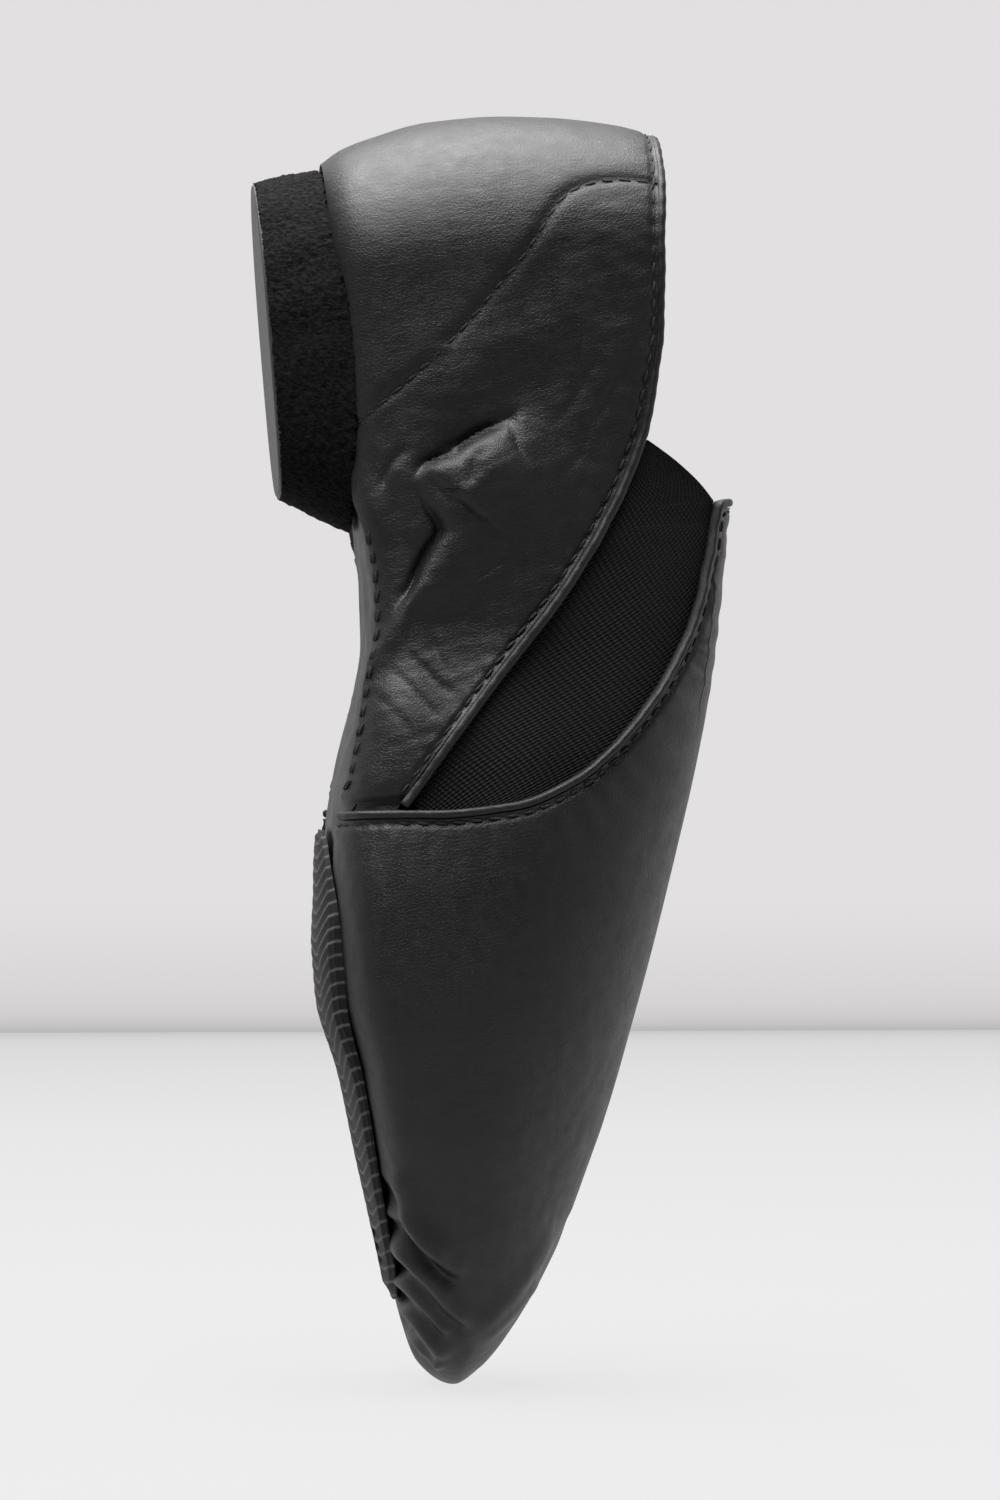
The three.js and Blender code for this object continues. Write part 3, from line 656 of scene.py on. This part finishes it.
def leather(name, dark, light, roughness, grain=1.0):
    make = Shader(name)
    patches = make.ramp(make.noise(0.05, 4), 0.35, 0.7)
    make.feed("Base Color", make.blend(patches, dark, light))
    make.surface.inputs["Specular IOR Level"].default_value = 0.4
    make.feed("Roughness", make.ramp(make.noise(0.3, 5), 0.3, 0.7, roughness - 0.04, roughness + 0.06))
    normal = make.bump(make.noise(0.25, 5, (1.3, 1, 0.6)), 0.35 * grain, 0.45)
    normal = make.bump(make.noise(0.8, 4, (1.6, 1, 0.5)), 0.12 * grain, 0.5, normal)
    normal = make.bump(make.pores(1.6), 0.05 * grain, 0.6, normal)
    make.feed("Normal", make.bump(make.noise(5.0, 2), 0.03 * grain, 0.5, normal))
    return make.material


def knitted(name, dark, light, pitch, holes=0.0):
    """Weave in the sheet's own coordinates, which are in millimetres."""
    make = Shader(name, Roughness=0.75)
    make.surface.inputs["Specular IOR Level"].default_value = 0.15
    uv = make.node("SeparateXYZ", {"Vector": make.place.outputs["UV"]})
    turn = 2 * math.pi / pitch
    waves = []
    for axis in ("X", "Y"):
        angle = make.math("MULTIPLY", uv.outputs[axis], turn)
        waves.append(make.math("SINE", angle))
    cells = make.math("MULTIPLY", waves[0], waves[1])
    height = make.ramp(cells, -1, 1)
    make.feed("Base Color", make.blend(make.ramp(cells, 0.0, 0.9), dark, light))
    make.feed("Normal", make.bump(height, 0.3, 1.0))
    if holes:
        open_spots = make.math("GREATER_THAN", cells, 0.93)
        patches = make.math("GREATER_THAN", make.noise(0.12, 1), 1 - holes)
        make.feed("Alpha", make.math("SUBTRACT", 1.0, make.math("MULTIPLY", open_spots, patches)))
    return make.material


def suede(name):
    make = Shader(name, Roughness=0.95)
    make.surface.inputs["Specular IOR Level"].default_value = 0.1
    nap = make.noise(2.2, 6, (1, 1, 0.5))
    dark, light = (0.0015, 0.0015, 0.0015), (0.016, 0.016, 0.0165)
    make.feed("Base Color", make.blend(make.ramp(nap, 0.35, 0.75), dark, light))
    make.feed("Normal", make.bump(make.noise(5.0, 5), 0.35, 0.9, make.bump(nap, 0.5, 0.8)))
    return make.material


def rubber(name, dark, light, roughness):
    make = Shader(name)
    make.feed("Base Color", make.blend(make.ramp(make.noise(0.25, 5), 0.35, 0.75), dark, light))
    make.feed("Roughness", make.ramp(make.noise(0.6, 4), 0.3, 0.7, roughness - 0.08, roughness + 0.08))
    make.feed("Normal", make.bump(make.noise(3.0, 4), 0.05, 0.5))
    return make.material


RIB_PITCH = 2.7
RIB_BOW = 0.0067


def ribbed_rubber(name, dark, crest):
    """Dark rubber with a painted highlight on its rib crests, along the same bowed ribs as the sole's mesh.
    """
    make = Shader(name, Roughness=0.7)
    make.surface.inputs["Specular IOR Level"].default_value = 0.2
    place = make.node("SeparateXYZ", {"Vector": make.place.outputs["Object"]})
    x = make.math("MULTIPLY", place.outputs["X"], 1000.0)
    y = make.math("MULTIPLY", place.outputs["Y"], 1000.0)
    bowed = make.math("ADD", x, make.math("MULTIPLY", make.math("POWER", y, 2.0), RIB_BOW))
    wave = make.math("ABSOLUTE", make.math("COSINE", make.math("MULTIPLY", bowed, math.pi / RIB_PITCH)))
    # painted highlight: the rib crests are coloured pale whatever the light, with noise breaking the band up
    highlight_breakup = make.ramp(make.noise(0.4, 4), 0.3, 0.7, 0.4, 1.0)
    painted_crest_highlight = make.math("MULTIPLY", make.math("POWER", wave, 22.0), highlight_breakup)
    make.feed("Base Color", make.blend(painted_crest_highlight, dark, crest))
    make.feed("Normal", make.bump(make.noise(3.0, 4), 0.05, 0.5))
    return make.material


def plain(name, dark, light, per_mm, roughness):
    make = Shader(name, Roughness=roughness)
    make.feed("Base Color", make.blend(make.ramp(make.noise(per_mm, 5), 0.35, 0.7), dark, light))
    make.feed("Normal", make.bump(make.noise(per_mm * 2, 5), 0.2, 0.6))
    return make.material


UPPER = leather("upper_leather", (0.0045, 0.0045, 0.0047), (0.0075, 0.0075, 0.0078), 0.47)
EDGE = leather("edge_leather", (0.004, 0.004, 0.0042), (0.007, 0.007, 0.0073), 0.52, 0.6)
GUSSET = knitted("gusset_mesh", (0.0002, 0.0002, 0.0002), (0.014, 0.014, 0.014), 1.4, 0.36)
CLOTH = knitted("lining_cloth", (0.012, 0.012, 0.012), (0.035, 0.034, 0.034), 0.8)
NAP = suede("heel_suede")
# the sole's pale second colour is a painted highlight on its rib crests
RUBBER = ribbed_rubber("sole_rubber", (0.008, 0.008, 0.0085), (0.11, 0.11, 0.112))
LIFT_RUBBER = rubber("lift_rubber", (0.02, 0.0205, 0.022), (0.034, 0.0345, 0.037), 0.6)
THREAD = plain("thread", (0.001, 0.001, 0.001), (0.005, 0.005, 0.005), 4.0, 0.75)
BOARD = plain("fibre_board", (0.32, 0.22, 0.13), (0.46, 0.33, 0.2), 0.8, 0.9)
FELT = plain("filler_felt", (0.006, 0.006, 0.006), (0.016, 0.016, 0.016), 1.2, 0.95)
FOAM_GREY = plain("foam", (0.2, 0.21, 0.22), (0.3, 0.31, 0.32), 1.5, 0.95)


def place(obj, move, *nodes):
    """Ties a finished piece to a CAD body, or bakes its place into its mesh when it spans the arch, and
    hides the CAD nodes it stands for.
    """
    if move == "bend":
        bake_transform(obj)
    else:
        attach(obj, move)
    if nodes:
        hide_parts(*nodes)
    return obj


# ------ quarters and linings
def panel_grid(rows, columns, drop, front=QUARTER_FRONT):
    rows_at = np.linspace(BACK_STATION, front, rows)[:, None]
    top = edge_angle(rows_at, drop)
    low = curve(MARGIN_ANGLE, rows_at)
    share = np.linspace(0, 1, columns)[None, :]
    return np.broadcast_to(rows_at, (rows, columns)), mix(low, top, share)


for name, side in SIDES.items():
    station, angle = panel_grid(220, 140, EDGE_HEIGHT + 0.1, QUARTER_END)
    seam = np.maximum(station, BACK_STATION + 0.1)
    # the front end is skived and slips under the vamp
    under = smooth((station - QUARTER_FRONT + 2) / 2.4)
    inset, thickness = 1.5 * under, LEATHER - 0.5 * under
    quarter = sheet(f"quarter_{name}_leather", seam, angle, side, inset, thickness, quarter_relief, UPPER)
    place(quarter, "bend", f"quarter_{name}")
    station, angle = panel_grid(70, 40, EDGE_HEIGHT + 0.4)
    seam = np.maximum(station, BACK_STATION + 0.15)
    lining = sheet(f"quarter_{name}_lining_cloth", seam, angle, side, LINING_OUT, LINING, None, CLOTH)
    place(lining, "bend", f"quarter_lining_{name}")


# ------ vamp
def vamp_grid(rows, columns, set_back):
    across = np.linspace(-1, 1, columns)[None, :]
    share = 1 - np.abs(across)
    start = curve(throat_line(set_back), share)
    along = np.linspace(0, 1, rows)[:, None]
    station = mix(start, TOE_STATION, along)
    low = curve(MARGIN_ANGLE, np.maximum(station, QUARTER_END))
    return station, mix(low, 90, share), np.where(across < 0, LATERAL, MEDIAL) + 0 * station


station, angle, side = vamp_grid(230, 301, EDGE_HEIGHT + 0.1)
vamp = sheet("vamp_leather", station, angle, side, 0, LEATHER, vamp_relief, UPPER, wind=LATERAL)
place(vamp, "forepart", "vamp")
station, angle, side = vamp_grid(60, 81, EDGE_HEIGHT + 0.4)
vamp_lining = sheet(
    "vamp_lining_cloth", station, angle, side, LINING_OUT, LINING, vamp_lining_relief, CLOTH, wind=LATERAL
)
place(vamp_lining, "forepart", "vamp_lining")


# ------ mesh gussets
GUSSET_BACK = 27
GUSSET_FRONT = 97
# how far the mesh runs on under the quarter and the vamp
GUSSET_LAP = 4


def gusset_grid(rows, columns):
    station = np.linspace(GUSSET_BACK, GUSSET_FRONT, rows)[:, None]
    low = angle_at_height(station, curve(FRONT_EDGE, np.minimum(station + GUSSET_LAP, EDGE_END))) - 1.5
    # the throat's first few points stand nearly upright at the crown and are left out
    xs, zs = (values[20:] for values in throat_at(np.linspace(0, len(THROAT) - 1, 400)))
    order = np.argsort(xs)
    throat_z = np.interp(np.maximum(station - GUSSET_LAP, THROAT[1][0]), xs[order], zs[order])
    top_z = np.where(station < MESH_TOP[-1][0], curve(MESH_TOP, station) - 0.6, throat_z)
    high = angle_at_height(station, top_z)
    share = np.linspace(0, 1, columns)[None, :]
    return np.broadcast_to(station, (rows, columns)), mix(low, np.maximum(high, low + 0.5), share)


def gusset_relief(points, side):
    """Slack in the stretch mesh, and its folded top edge."""
    x, z = points[..., 0], points[..., 2]
    fold_x = np.linspace(MESH_TOP[0][0], MESH_TOP[-1][0], 16)
    fold_line = np.stack([fold_x, curve(MESH_TOP, fold_x)], axis=-1)
    away = np.abs(near_line(x, z, fold_line)[0])
    return 0.25 * ripple(points, 24, 21) + 0.25 * smooth(1 - away / 2.2)


for name, side in SIDES.items():
    station, angle = gusset_grid(130, 90)
    gusset = sheet(f"mesh_gusset_{name}_knit", station, angle, side, 1.35, MESH, gusset_relief, GUSSET)
    place(gusset, "bend", f"mesh_gusset_{name}")


# ------ rolled edges
def path_frames(station, angle, side, depth):
    """Centres, and unit vectors outwards and square to the path, along a path on the body."""
    centre = body(station, angle, depth, side)
    tangent = unit(np.gradient(centre, axis=0))
    out = body(station, angle, 0.0, side) - body(station, angle, 3.0, side)
    out = unit(square_to(out, tangent))
    return centre, out, np.cross(tangent, out)


def even(path, step):
    """Fractional indices that walk along a path of points in even steps."""
    length = run(np.linalg.norm(np.diff(path, axis=0), axis=1))
    at = np.linspace(0, length[-1], max(int(length[-1] / step), 2) + 1)
    return np.interp(at, length, np.arange(len(path)))


def resample(values, index):
    return np.interp(index, np.arange(len(values)), values)


def tube(name, rings, material):
    """Closed rope of rings with flat ends."""
    rows, columns = rings.shape[:2]
    faces = []
    uvs = []
    along = run(np.linalg.norm(np.diff(rings[:, 0], axis=0), axis=1))
    around = np.linspace(0, 8, columns + 1)
    for r in range(rows - 1):
        for c in range(columns):
            d = (c + 1) % columns
            faces.append((r * columns + c, r * columns + d, (r + 1) * columns + d, (r + 1) * columns + c))
            near, far = along[r], along[r + 1]
            uvs += [(near, around[c]), (near, around[c + 1]), (far, around[c + 1]), (far, around[c])]
    for r in (0, rows - 1):
        faces.append(tuple(r * columns + c for c in range(columns)))
        uvs += [(along[r], around[c]) for c in range(columns)]
    return mesh_object(name, rings.reshape(-1, 3), faces, uvs, (), material)


EDGE_STEP = 0.5


def rolled_edge(name, station, angle, side, depth, width, height, seed):
    """Bound edge: a strip of leather rolled round the raw edge and drawn in by the stitching."""
    index = even(body(station, angle, 0.0, side), EDGE_STEP)
    station, angle, side, depth, width = (resample(v, index) for v in (station, angle, side, depth, width))
    side = np.where(side < 0, -1.0, 1.0)
    centre, out, up = path_frames(station, angle, side, depth)
    turn = np.linspace(0, 2 * math.pi, 18, endpoint=False)[None, :, None]
    round_out = np.sign(np.cos(turn)) * np.abs(np.cos(turn)) ** 0.75
    round_up = np.sign(np.sin(turn)) * np.abs(np.sin(turn)) ** 0.75
    along = np.arange(len(centre))[:, None, None] * EDGE_STEP
    pucker = 1 + 0.05 * np.sin(along * 2 * math.pi / STITCH_PITCH)
    sway = 0.12 * ripple(centre, 9, seed)[:, None, None]
    reach = (width[:, None, None] / 2) * pucker
    rings = centre[:, None] + out[:, None] * (round_out * reach + sway) + up[:, None] * round_up * height / 2
    return tube(name, rings, EDGE)


steps = np.linspace(-1, 1, 401)
station = mix(BACK_STATION, QUARTER_FRONT + 1, np.abs(steps))
side = np.where(steps < 0, -1.0, 1.0)
narrow = np.clip((station - 10) / 16, 0, 1)
topline = rolled_edge(
    "topline_rolled_edge", station, edge_angle(station, EDGE_HEIGHT / 2), side,
    mix(LINING_IN / 2, 0.45, narrow), mix(3.2, 2.3, narrow), 1.95, 31,
)
place(topline, "bend", "topline_binding")

# the binding stops short of the vamp's under edge, and sinks in where the two sides meet at the crown
THROAT_REACH = 0.95
share = 1 - THROAT_REACH * np.abs(steps)
crown_dip = 0.6 * np.exp(-((steps / 0.03) ** 2))
throat_start = curve(throat_line(EDGE_HEIGHT / 2), share)
throat_angle = mix(THROAT_LOW, 90, share)
throat = rolled_edge(
    "throat_rolled_edge", throat_start, throat_angle, side,
    0.45 + crown_dip, np.full(len(steps), 2.2), 1.65, 32,
)
place(throat, "forepart", "throat_binding")


# ------ stitching
STITCH_LENGTH = 2.4
STITCH_RADIUS = 0.3
STITCH_SIDES = 8
# place along a stitch, and its share of the full thickness there
STITCH_PROFILE = [(-0.5, 0.35), (-0.4, 0.85), (0.0, 1.0), (0.4, 0.85), (0.5, 0.35)]


def stitch_row(name, points, outward, move, seed):
    """Row of sewing stitches: short rods with round ends, laid along a path of points."""
    index = even(points, STITCH_PITCH)
    draw = np.random.default_rng(seed)
    path, out = (np.stack([resample(v, index) for v in rows.T], axis=-1) for rows in (points, outward))
    middle = (path[:-1] + path[1:]) / 2
    along = unit(path[1:] - path[:-1])
    out = unit(square_to(out[:-1], along))
    across = np.cross(along, out)
    lean = draw.normal(0, 0.05, (len(middle), 1))
    along = along + across * (lean + 0.1)
    turn = np.linspace(0, 2 * math.pi, STITCH_SIDES, endpoint=False)
    verts, faces = [], []
    for k in range(len(middle)):
        size = STITCH_LENGTH * draw.uniform(0.93, 1.05)
        base = len(verts)
        for where, thick in STITCH_PROFILE:
            radius = STITCH_RADIUS * thick
            sink = -0.35 * STITCH_RADIUS * (1 - thick)
            for t in turn:
                offset = out[k] * (math.cos(t) * radius + sink) + across[k] * math.sin(t) * radius
                verts.append(middle[k] + along[k] * where * size + offset)
        last = base + STITCH_SIDES * (len(STITCH_PROFILE) - 1)
        for first in range(base, last, STITCH_SIDES):
            second = first + STITCH_SIDES
            for c in range(STITCH_SIDES):
                d = (c + 1) % STITCH_SIDES
                faces.append((first + c, first + d, second + d, second + c))
        faces.append(tuple(base + c for c in range(STITCH_SIDES)))
        faces.append(tuple(last + c for c in range(STITCH_SIDES)))
    row = mesh_object(name, np.array(verts), faces, None, (), THREAD)
    return place(row, move)


def surface_path(station, angle, side, relief, rise):
    """Points a little above the leather's outer face along a path, and its outward unit vectors."""
    side = np.broadcast_to(np.asarray(side, float), station.shape)
    base = body(station, angle, 0.0, side)
    _, out, _ = path_frames(station, angle, side, 0.0)
    return base + out * (relief(base, side)[..., None] + rise), out


for name, side in SIDES.items():
    station = np.linspace(BACK_STATION + 1.2, QUARTER_FRONT - 1, 400)
    path, out = surface_path(station, edge_angle(station, STITCH_IN), side, quarter_relief, 0.12)
    stitch_row(f"edge_stitches_{name}", path, out, "bend", seed=41)
    line = smooth_line(COUNTER_LINE, 90)
    station, angle = place_at(line[:, 0], line[:, 1])
    path, out = surface_path(station, angle, side, quarter_relief, 0.1)
    stitch_row(f"counter_stitches_{name}", path, out, "heel", seed=42)
    for row, rise in enumerate((1.0, 3.6)):
        station = np.linspace(40, 90, 200)
        angle = curve(MARGIN_ANGLE, station) + rise
        path, out = surface_path(station, angle, side, quarter_relief, 0.12)
        stitch_row(f"arch_stitches_{name}_{row}", path, out, "bend", seed=43 + row)

share = 1 - np.abs(np.linspace(-0.985, 0.985, 500))
side = np.where(np.linspace(-1, 1, 500) < 0, -1.0, 1.0)
angle = mix(THROAT_LOW, 90, share)
path, out = surface_path(curve(throat_line(STITCH_IN), share), angle, side, vamp_relief, 0.12)
stitch_row("throat_stitches", path, out, "forepart", seed=45)


# ------ layers under the foot
def plate_points(first, last, rows, columns, edge, inset):
    """Plan positions of a plate that follows the body outline, taken at an edge angle and inset."""
    station = np.linspace(first, last, rows)[:, None]
    across = np.linspace(-1, 1, columns)[None, :]
    rim_x, rim_half, _ = pattern(station, edge(station), inset)
    hub = np.clip(rim_x, SEAT_X, TOE_X)
    share = np.sin(np.abs(across) * math.pi / 2) ** 0.8
    return mix(hub, rim_x, share), rim_half * share * np.sign(across)


def plate(name, x, offset, lower, upper, material):
    y = curve(CENTRE, x) + offset
    return slab(name, np.stack([x, y, upper], axis=-1), np.stack([x, y, lower], axis=-1), material)


def layer_plate(name, edge, out, thickness, material):
    x, offset = plate_points(BACK_STATION, TOE_STATION, 120, 31, lambda at: edge + 0 * at, out + thickness)
    lower = underside(x, offset, out)
    return plate(name, x, offset, lower, underside(x, offset, out + thickness), material)


foam = layer_plate("footbed_foam_layer", -46, FOAM_OUT, FOAM, FOAM_GREY)
place(foam, "bend", "footbed_foam")
sock = layer_plate("sock_liner_cloth", -42, SOCK_OUT, SOCK, CLOTH)
place(sock, "bend", "sock_liner")


# angle of the arch panel's edge: inside the quarters, then just under the vamp's margin
ARCH_EDGE = [(31, -38), (91, -38), (98, -60), (114, -60)]


def arch_relief(points, side):
    return 0.15 * ripple(points, 12, 51)


across = np.linspace(-1, 1, 91)[None, :]
station = np.linspace(ARCH_EDGE[0][0], ARCH_EDGE[-1][0], 148)[:, None]
angle = mix(-90, curve(ARCH_EDGE, station), np.abs(across))
side = np.where(across < 0, -1.0, 1.0) + 0 * station
arch = sheet(
    "arch_panel_leather", station + 0 * across, angle, side,
    ARCH_OUT, ARCH_LEATHER, arch_relief, UPPER, wind=MEDIAL,
)
place(arch, "bend", "arch_panel")


# ------ forepart sole
# SOLE_SHARE thins the sole's rear end over a longer way than in the CAD
SOLE_EDGE = [(97, -85), (100, -72), (106, -60), (116, -53), (150, -52), (175, -60), (227, -68)]
SOLE_SHARE = [(97, 0.2), (108, 0.45), (122, 1), (128, 1), (150, 0.62), (190, 0.5), (208, 0.5)]
SOLE_START = 97.16
# plain border round the ribs, how much its rim is rounded, and the ribs' front end and depth
SOLE_BORDER = 1.1
SOLE_ROUNDING = 0.9
RIB_END = 186
RIB_DEPTH = 0.6

x, offset = plate_points(SOLE_START, TOE_STATION, 420, 61, lambda at: curve(SOLE_EDGE, at), 0)
under = underside(x, offset, 0)
lower = np.maximum(0, under - GAP - (FOREPART_SOLE + 0.25) * curve(SOLE_SHARE, x))
half_width = np.abs(offset).max(axis=1, keepdims=True)
inside = np.minimum(half_width - np.abs(offset), x - SOLE_START) / SOLE_BORDER
ribbed = smooth(inside - 1) * smooth((RIB_END - x) / 3)
crest = np.abs(np.cos((x + RIB_BOW * (curve(CENTRE, x) + offset) ** 2) * math.pi / RIB_PITCH)) ** 3
lower = lower + RIB_DEPTH * ribbed * (1 - crest) + SOLE_ROUNDING * smooth(1 - inside * 0.8)
sole = plate("forepart_sole_rubber", x, offset, lower, under - GAP, RUBBER)
place(sole, "forepart", "forepart_sole")


# ------ heel pad
PAD_BACK = 30
PAD_FRONT = 32
PAD_TOP_FRONT = 39
PAD_HALF = HEEL_WIDTH / 2 - 4.5
PAD_FLARE = 1.5
HEEL_HEIGHT = 12.5


def pad_outline(turn, z, inset):
    rise = z / HEEL_HEIGHT
    back = PAD_BACK + PAD_FLARE * rise - inset
    front = mix(PAD_FRONT, PAD_TOP_FRONT, rise) - inset
    half = PAD_HALF + PAD_FLARE * rise - inset
    forward, sideways = np.cos(turn), np.sin(turn)
    exponent = np.where(forward > 0, 2 / 3.2, 1.0)
    x = np.where(forward > 0, front, back) * np.sign(forward) * np.abs(forward) ** exponent
    return x, half * np.sign(sideways) * np.abs(sideways) ** exponent


def heel_cover():
    columns, rows = 520, 46
    turn = np.linspace(0, 2 * math.pi, columns, endpoint=False)[None, :]
    share = np.linspace(0, 1, rows)[:, None]
    x_top, y_top = pad_outline(turn, HEEL_HEIGHT, 0)
    top = underside(x_top, y_top - curve(CENTRE, x_top), 0) - 0.12
    draw = np.random.default_rng(61)
    ragged_low = 0.35 + 0.22 * np.abs(draw.normal(size=(1, columns)))
    ragged_top = top + 0.28 * draw.normal(size=(1, columns))
    z = mix(ragged_low, ragged_top, share)
    x, y = pad_outline(turn, z, 0)
    grid = np.stack([x, y, z], axis=-1)
    nap = 0.08 * ripple(grid, 2.4, 62, 30) + 0.1 * ripple(grid, 1.2, 63, 30) + 0.2 * ripple(grid, 14, 64)
    inner_x, inner_y = pad_outline(turn, z, 1.0)
    outer_x, outer_y = pad_outline(turn, z, -np.maximum(nap, -0.4))
    outer = np.stack([outer_x, outer_y, z], axis=-1)
    inner = np.stack([inner_x, inner_y, z], axis=-1)
    outer, inner = (np.concatenate([face, face[:, :1]], axis=1) for face in (outer, inner))
    return slab("heel_cover_suede", outer, inner, NAP)


place(heel_cover(), "heel", "heel_cover")


# height and inset of the lift's rim, from the tread up
TOP_LIFT_RIM = [(0.0, 1.9), (0.0, 0.75), (0.35, 0.4), (2.3, 0.4), (2.5, 0.6), (2.5, 1.9)]


def top_lift():
    turn = np.linspace(0, 2 * math.pi, 200, endpoint=False)
    rings = []
    for z, inset in TOP_LIFT_RIM:
        x, y = pad_outline(turn, z, inset)
        rings.append(np.stack([x, y, np.full_like(x, z)], axis=-1))
    return tube("heel_top_lift_rubber", np.array(rings), LIFT_RUBBER)


place(top_lift(), "heel", "heel_top_lift")


# ------ CAD pieces shown as they are
CAD_FINISH = {
    "heel_counter": BOARD, "heel_filler": FELT, "forepart_filler": FELT, "heel_insole_board": BOARD,
    "forepart_insole_board": BOARD, "heel_block": FOAM_GREY,
}
for node, material in CAD_FINISH.items():
    piece = bpy.data.objects[node]
    piece.data.materials.clear()
    piece.data.materials.append(material)


# ------ camera, stage and lights
# The picture stands the shoe on its toe: picture up is nearly the part's -X.
PICTURE_UP = Vector((-0.9966, 0, 0.0828))
PICTURE_RIGHT = Vector((0.0828, 0, 0.9966))
LOOK_AT = Vector((84.4, -15, 38.4)) * MM
VIEW_HEIGHT = 290.7 * MM
DISTANCE = 1.3
SENSOR = 36
YAW = math.radians(4)


def picture_camera():
    back = Vector((0, -1, 0))
    away = math.cos(YAW) * back - math.sin(YAW) * PICTURE_RIGHT
    right = math.cos(YAW) * PICTURE_RIGHT + math.sin(YAW) * back
    data = bpy.data.cameras.new("picture_camera")
    data.sensor_fit = "VERTICAL"
    data.sensor_height = SENSOR
    data.lens = SENSOR * DISTANCE / VIEW_HEIGHT
    camera = bpy.data.objects.new("picture_camera", data)
    turn = Matrix((right, PICTURE_UP, away)).transposed().to_4x4()
    camera.matrix_world = Matrix.Translation(LOOK_AT + away * DISTANCE) @ turn
    link(camera)
    bpy.context.scene.camera = camera


picture_camera()


def picture_point(right, up, back):
    """World point given in millimetres to the right, up and behind the picture's middle."""
    facing = Vector((0, 1, 0))
    return LOOK_AT + (PICTURE_RIGHT * right + PICTURE_UP * up + facing * back) * MM


def stage_plane(name, corners, material):
    mesh = bpy.data.meshes.new(name)
    mesh.from_pydata([picture_point(*corner) for corner in corners], [], [(0, 1, 2, 3)])
    plane = bpy.data.objects.new(name, mesh)
    mesh.materials.append(material)
    link(plane)


def paper(name, color, axis, start, end, soft, hard, shine):
    """Pale studio paper that glows evenly but for a painted shade darkening it along an axis towards the
    fold where wall meets floor, seen only from the side it faces.
    """
    make = Shader(name, Roughness=1.0)
    make.surface.inputs["Base Color"].default_value = (shine, shine, shine, 1)
    make.surface.inputs["Specular IOR Level"].default_value = 0.0
    # painted shade: the glow fades by a gentle and a steep share towards the fold between wall and floor
    along = make.node("VectorMath", {0: make.place.outputs["Object"], 1: axis}, operation="DOT_PRODUCT")
    share = make.ramp(along.outputs["Value"], start * MM, end * MM)
    gentle_painted_shade = make.math("MULTIPLY", make.math("POWER", share, 1.3), soft)
    steep_painted_shade = make.math("MULTIPLY", make.math("POWER", share, 12.0), hard)
    strength = make.math("SUBTRACT", 1.0, make.math("ADD", gentle_painted_shade, steep_painted_shade))
    make.surface.inputs["Emission Color"].default_value = (*color, 1)
    make.feed("Emission Strength", strength)
    side = make.node("NewGeometry")
    clear = make.node("BsdfTransparent")
    shaders = {0: side.outputs["Backfacing"], 1: make.surface.outputs[0], 2: clear.outputs[0]}
    choose = make.node("MixShader", shaders)
    make.tree.links.new(choose.outputs[0], make.tree.nodes["Material Output"].inputs["Surface"])
    return make.material


# the paper's floor lies this far down the picture, and the wall this far back
DROP = -124.7
WALL_BACK = 1670
FLOOR_FRONT = -330
HALF = 3000
foot = [(-HALF, DROP, WALL_BACK), (HALF, DROP, WALL_BACK)]
stage_plane(
    "floor",
    [(-HALF, DROP, FLOOR_FRONT), (HALF, DROP, FLOOR_FRONT), foot[1], foot[0]],
    paper("floor_paper", (0.76, 0.76, 0.76), (0, 1, 0), 860, 1655, 0.12, 0.16, 0.028),
)
level = 1000 * LOOK_AT.dot(PICTURE_UP)
stage_plane(
    "wall",
    foot + [(HALF, HALF, WALL_BACK), (-HALF, HALF, WALL_BACK)],
    paper("wall_paper", (0.76, 0.744, 0.75), tuple(PICTURE_UP), level - 66, level - 124, 0.16, 0.19, 0.0),
)


def soft_light(name, right, up, back, width, height, power):
    data = bpy.data.lights.new(name, "AREA")
    data.shape = "RECTANGLE"
    data.size = width
    data.size_y = height
    data.energy = power
    light = bpy.data.objects.new(name, data)
    light.location = picture_point(right, up, back)
    light.rotation_euler = (LOOK_AT - light.location).to_track_quat("-Z", "Y").to_euler()
    link(light)


soft_light("top_softbox", -120, 850, -40, 1.1, 0.9, 39)
soft_light("left_softbox", -900, 100, 250, 0.6, 1.4, 0.8)
soft_light("right_softbox", 900, 100, 250, 0.6, 1.4, 1.6)

world = bpy.data.worlds.new("studio")
bpy.context.scene.world = world
world.use_nodes = True
background = world.node_tree.nodes["Background"].inputs
background["Color"].default_value = (0.9, 0.9, 0.92, 1)
background["Strength"].default_value = 0.05

scene = bpy.context.scene
scene.render.engine = "CYCLES"
scene.view_settings.view_transform = "Standard"
scene.render.resolution_x = 683
scene.render.resolution_y = 1024
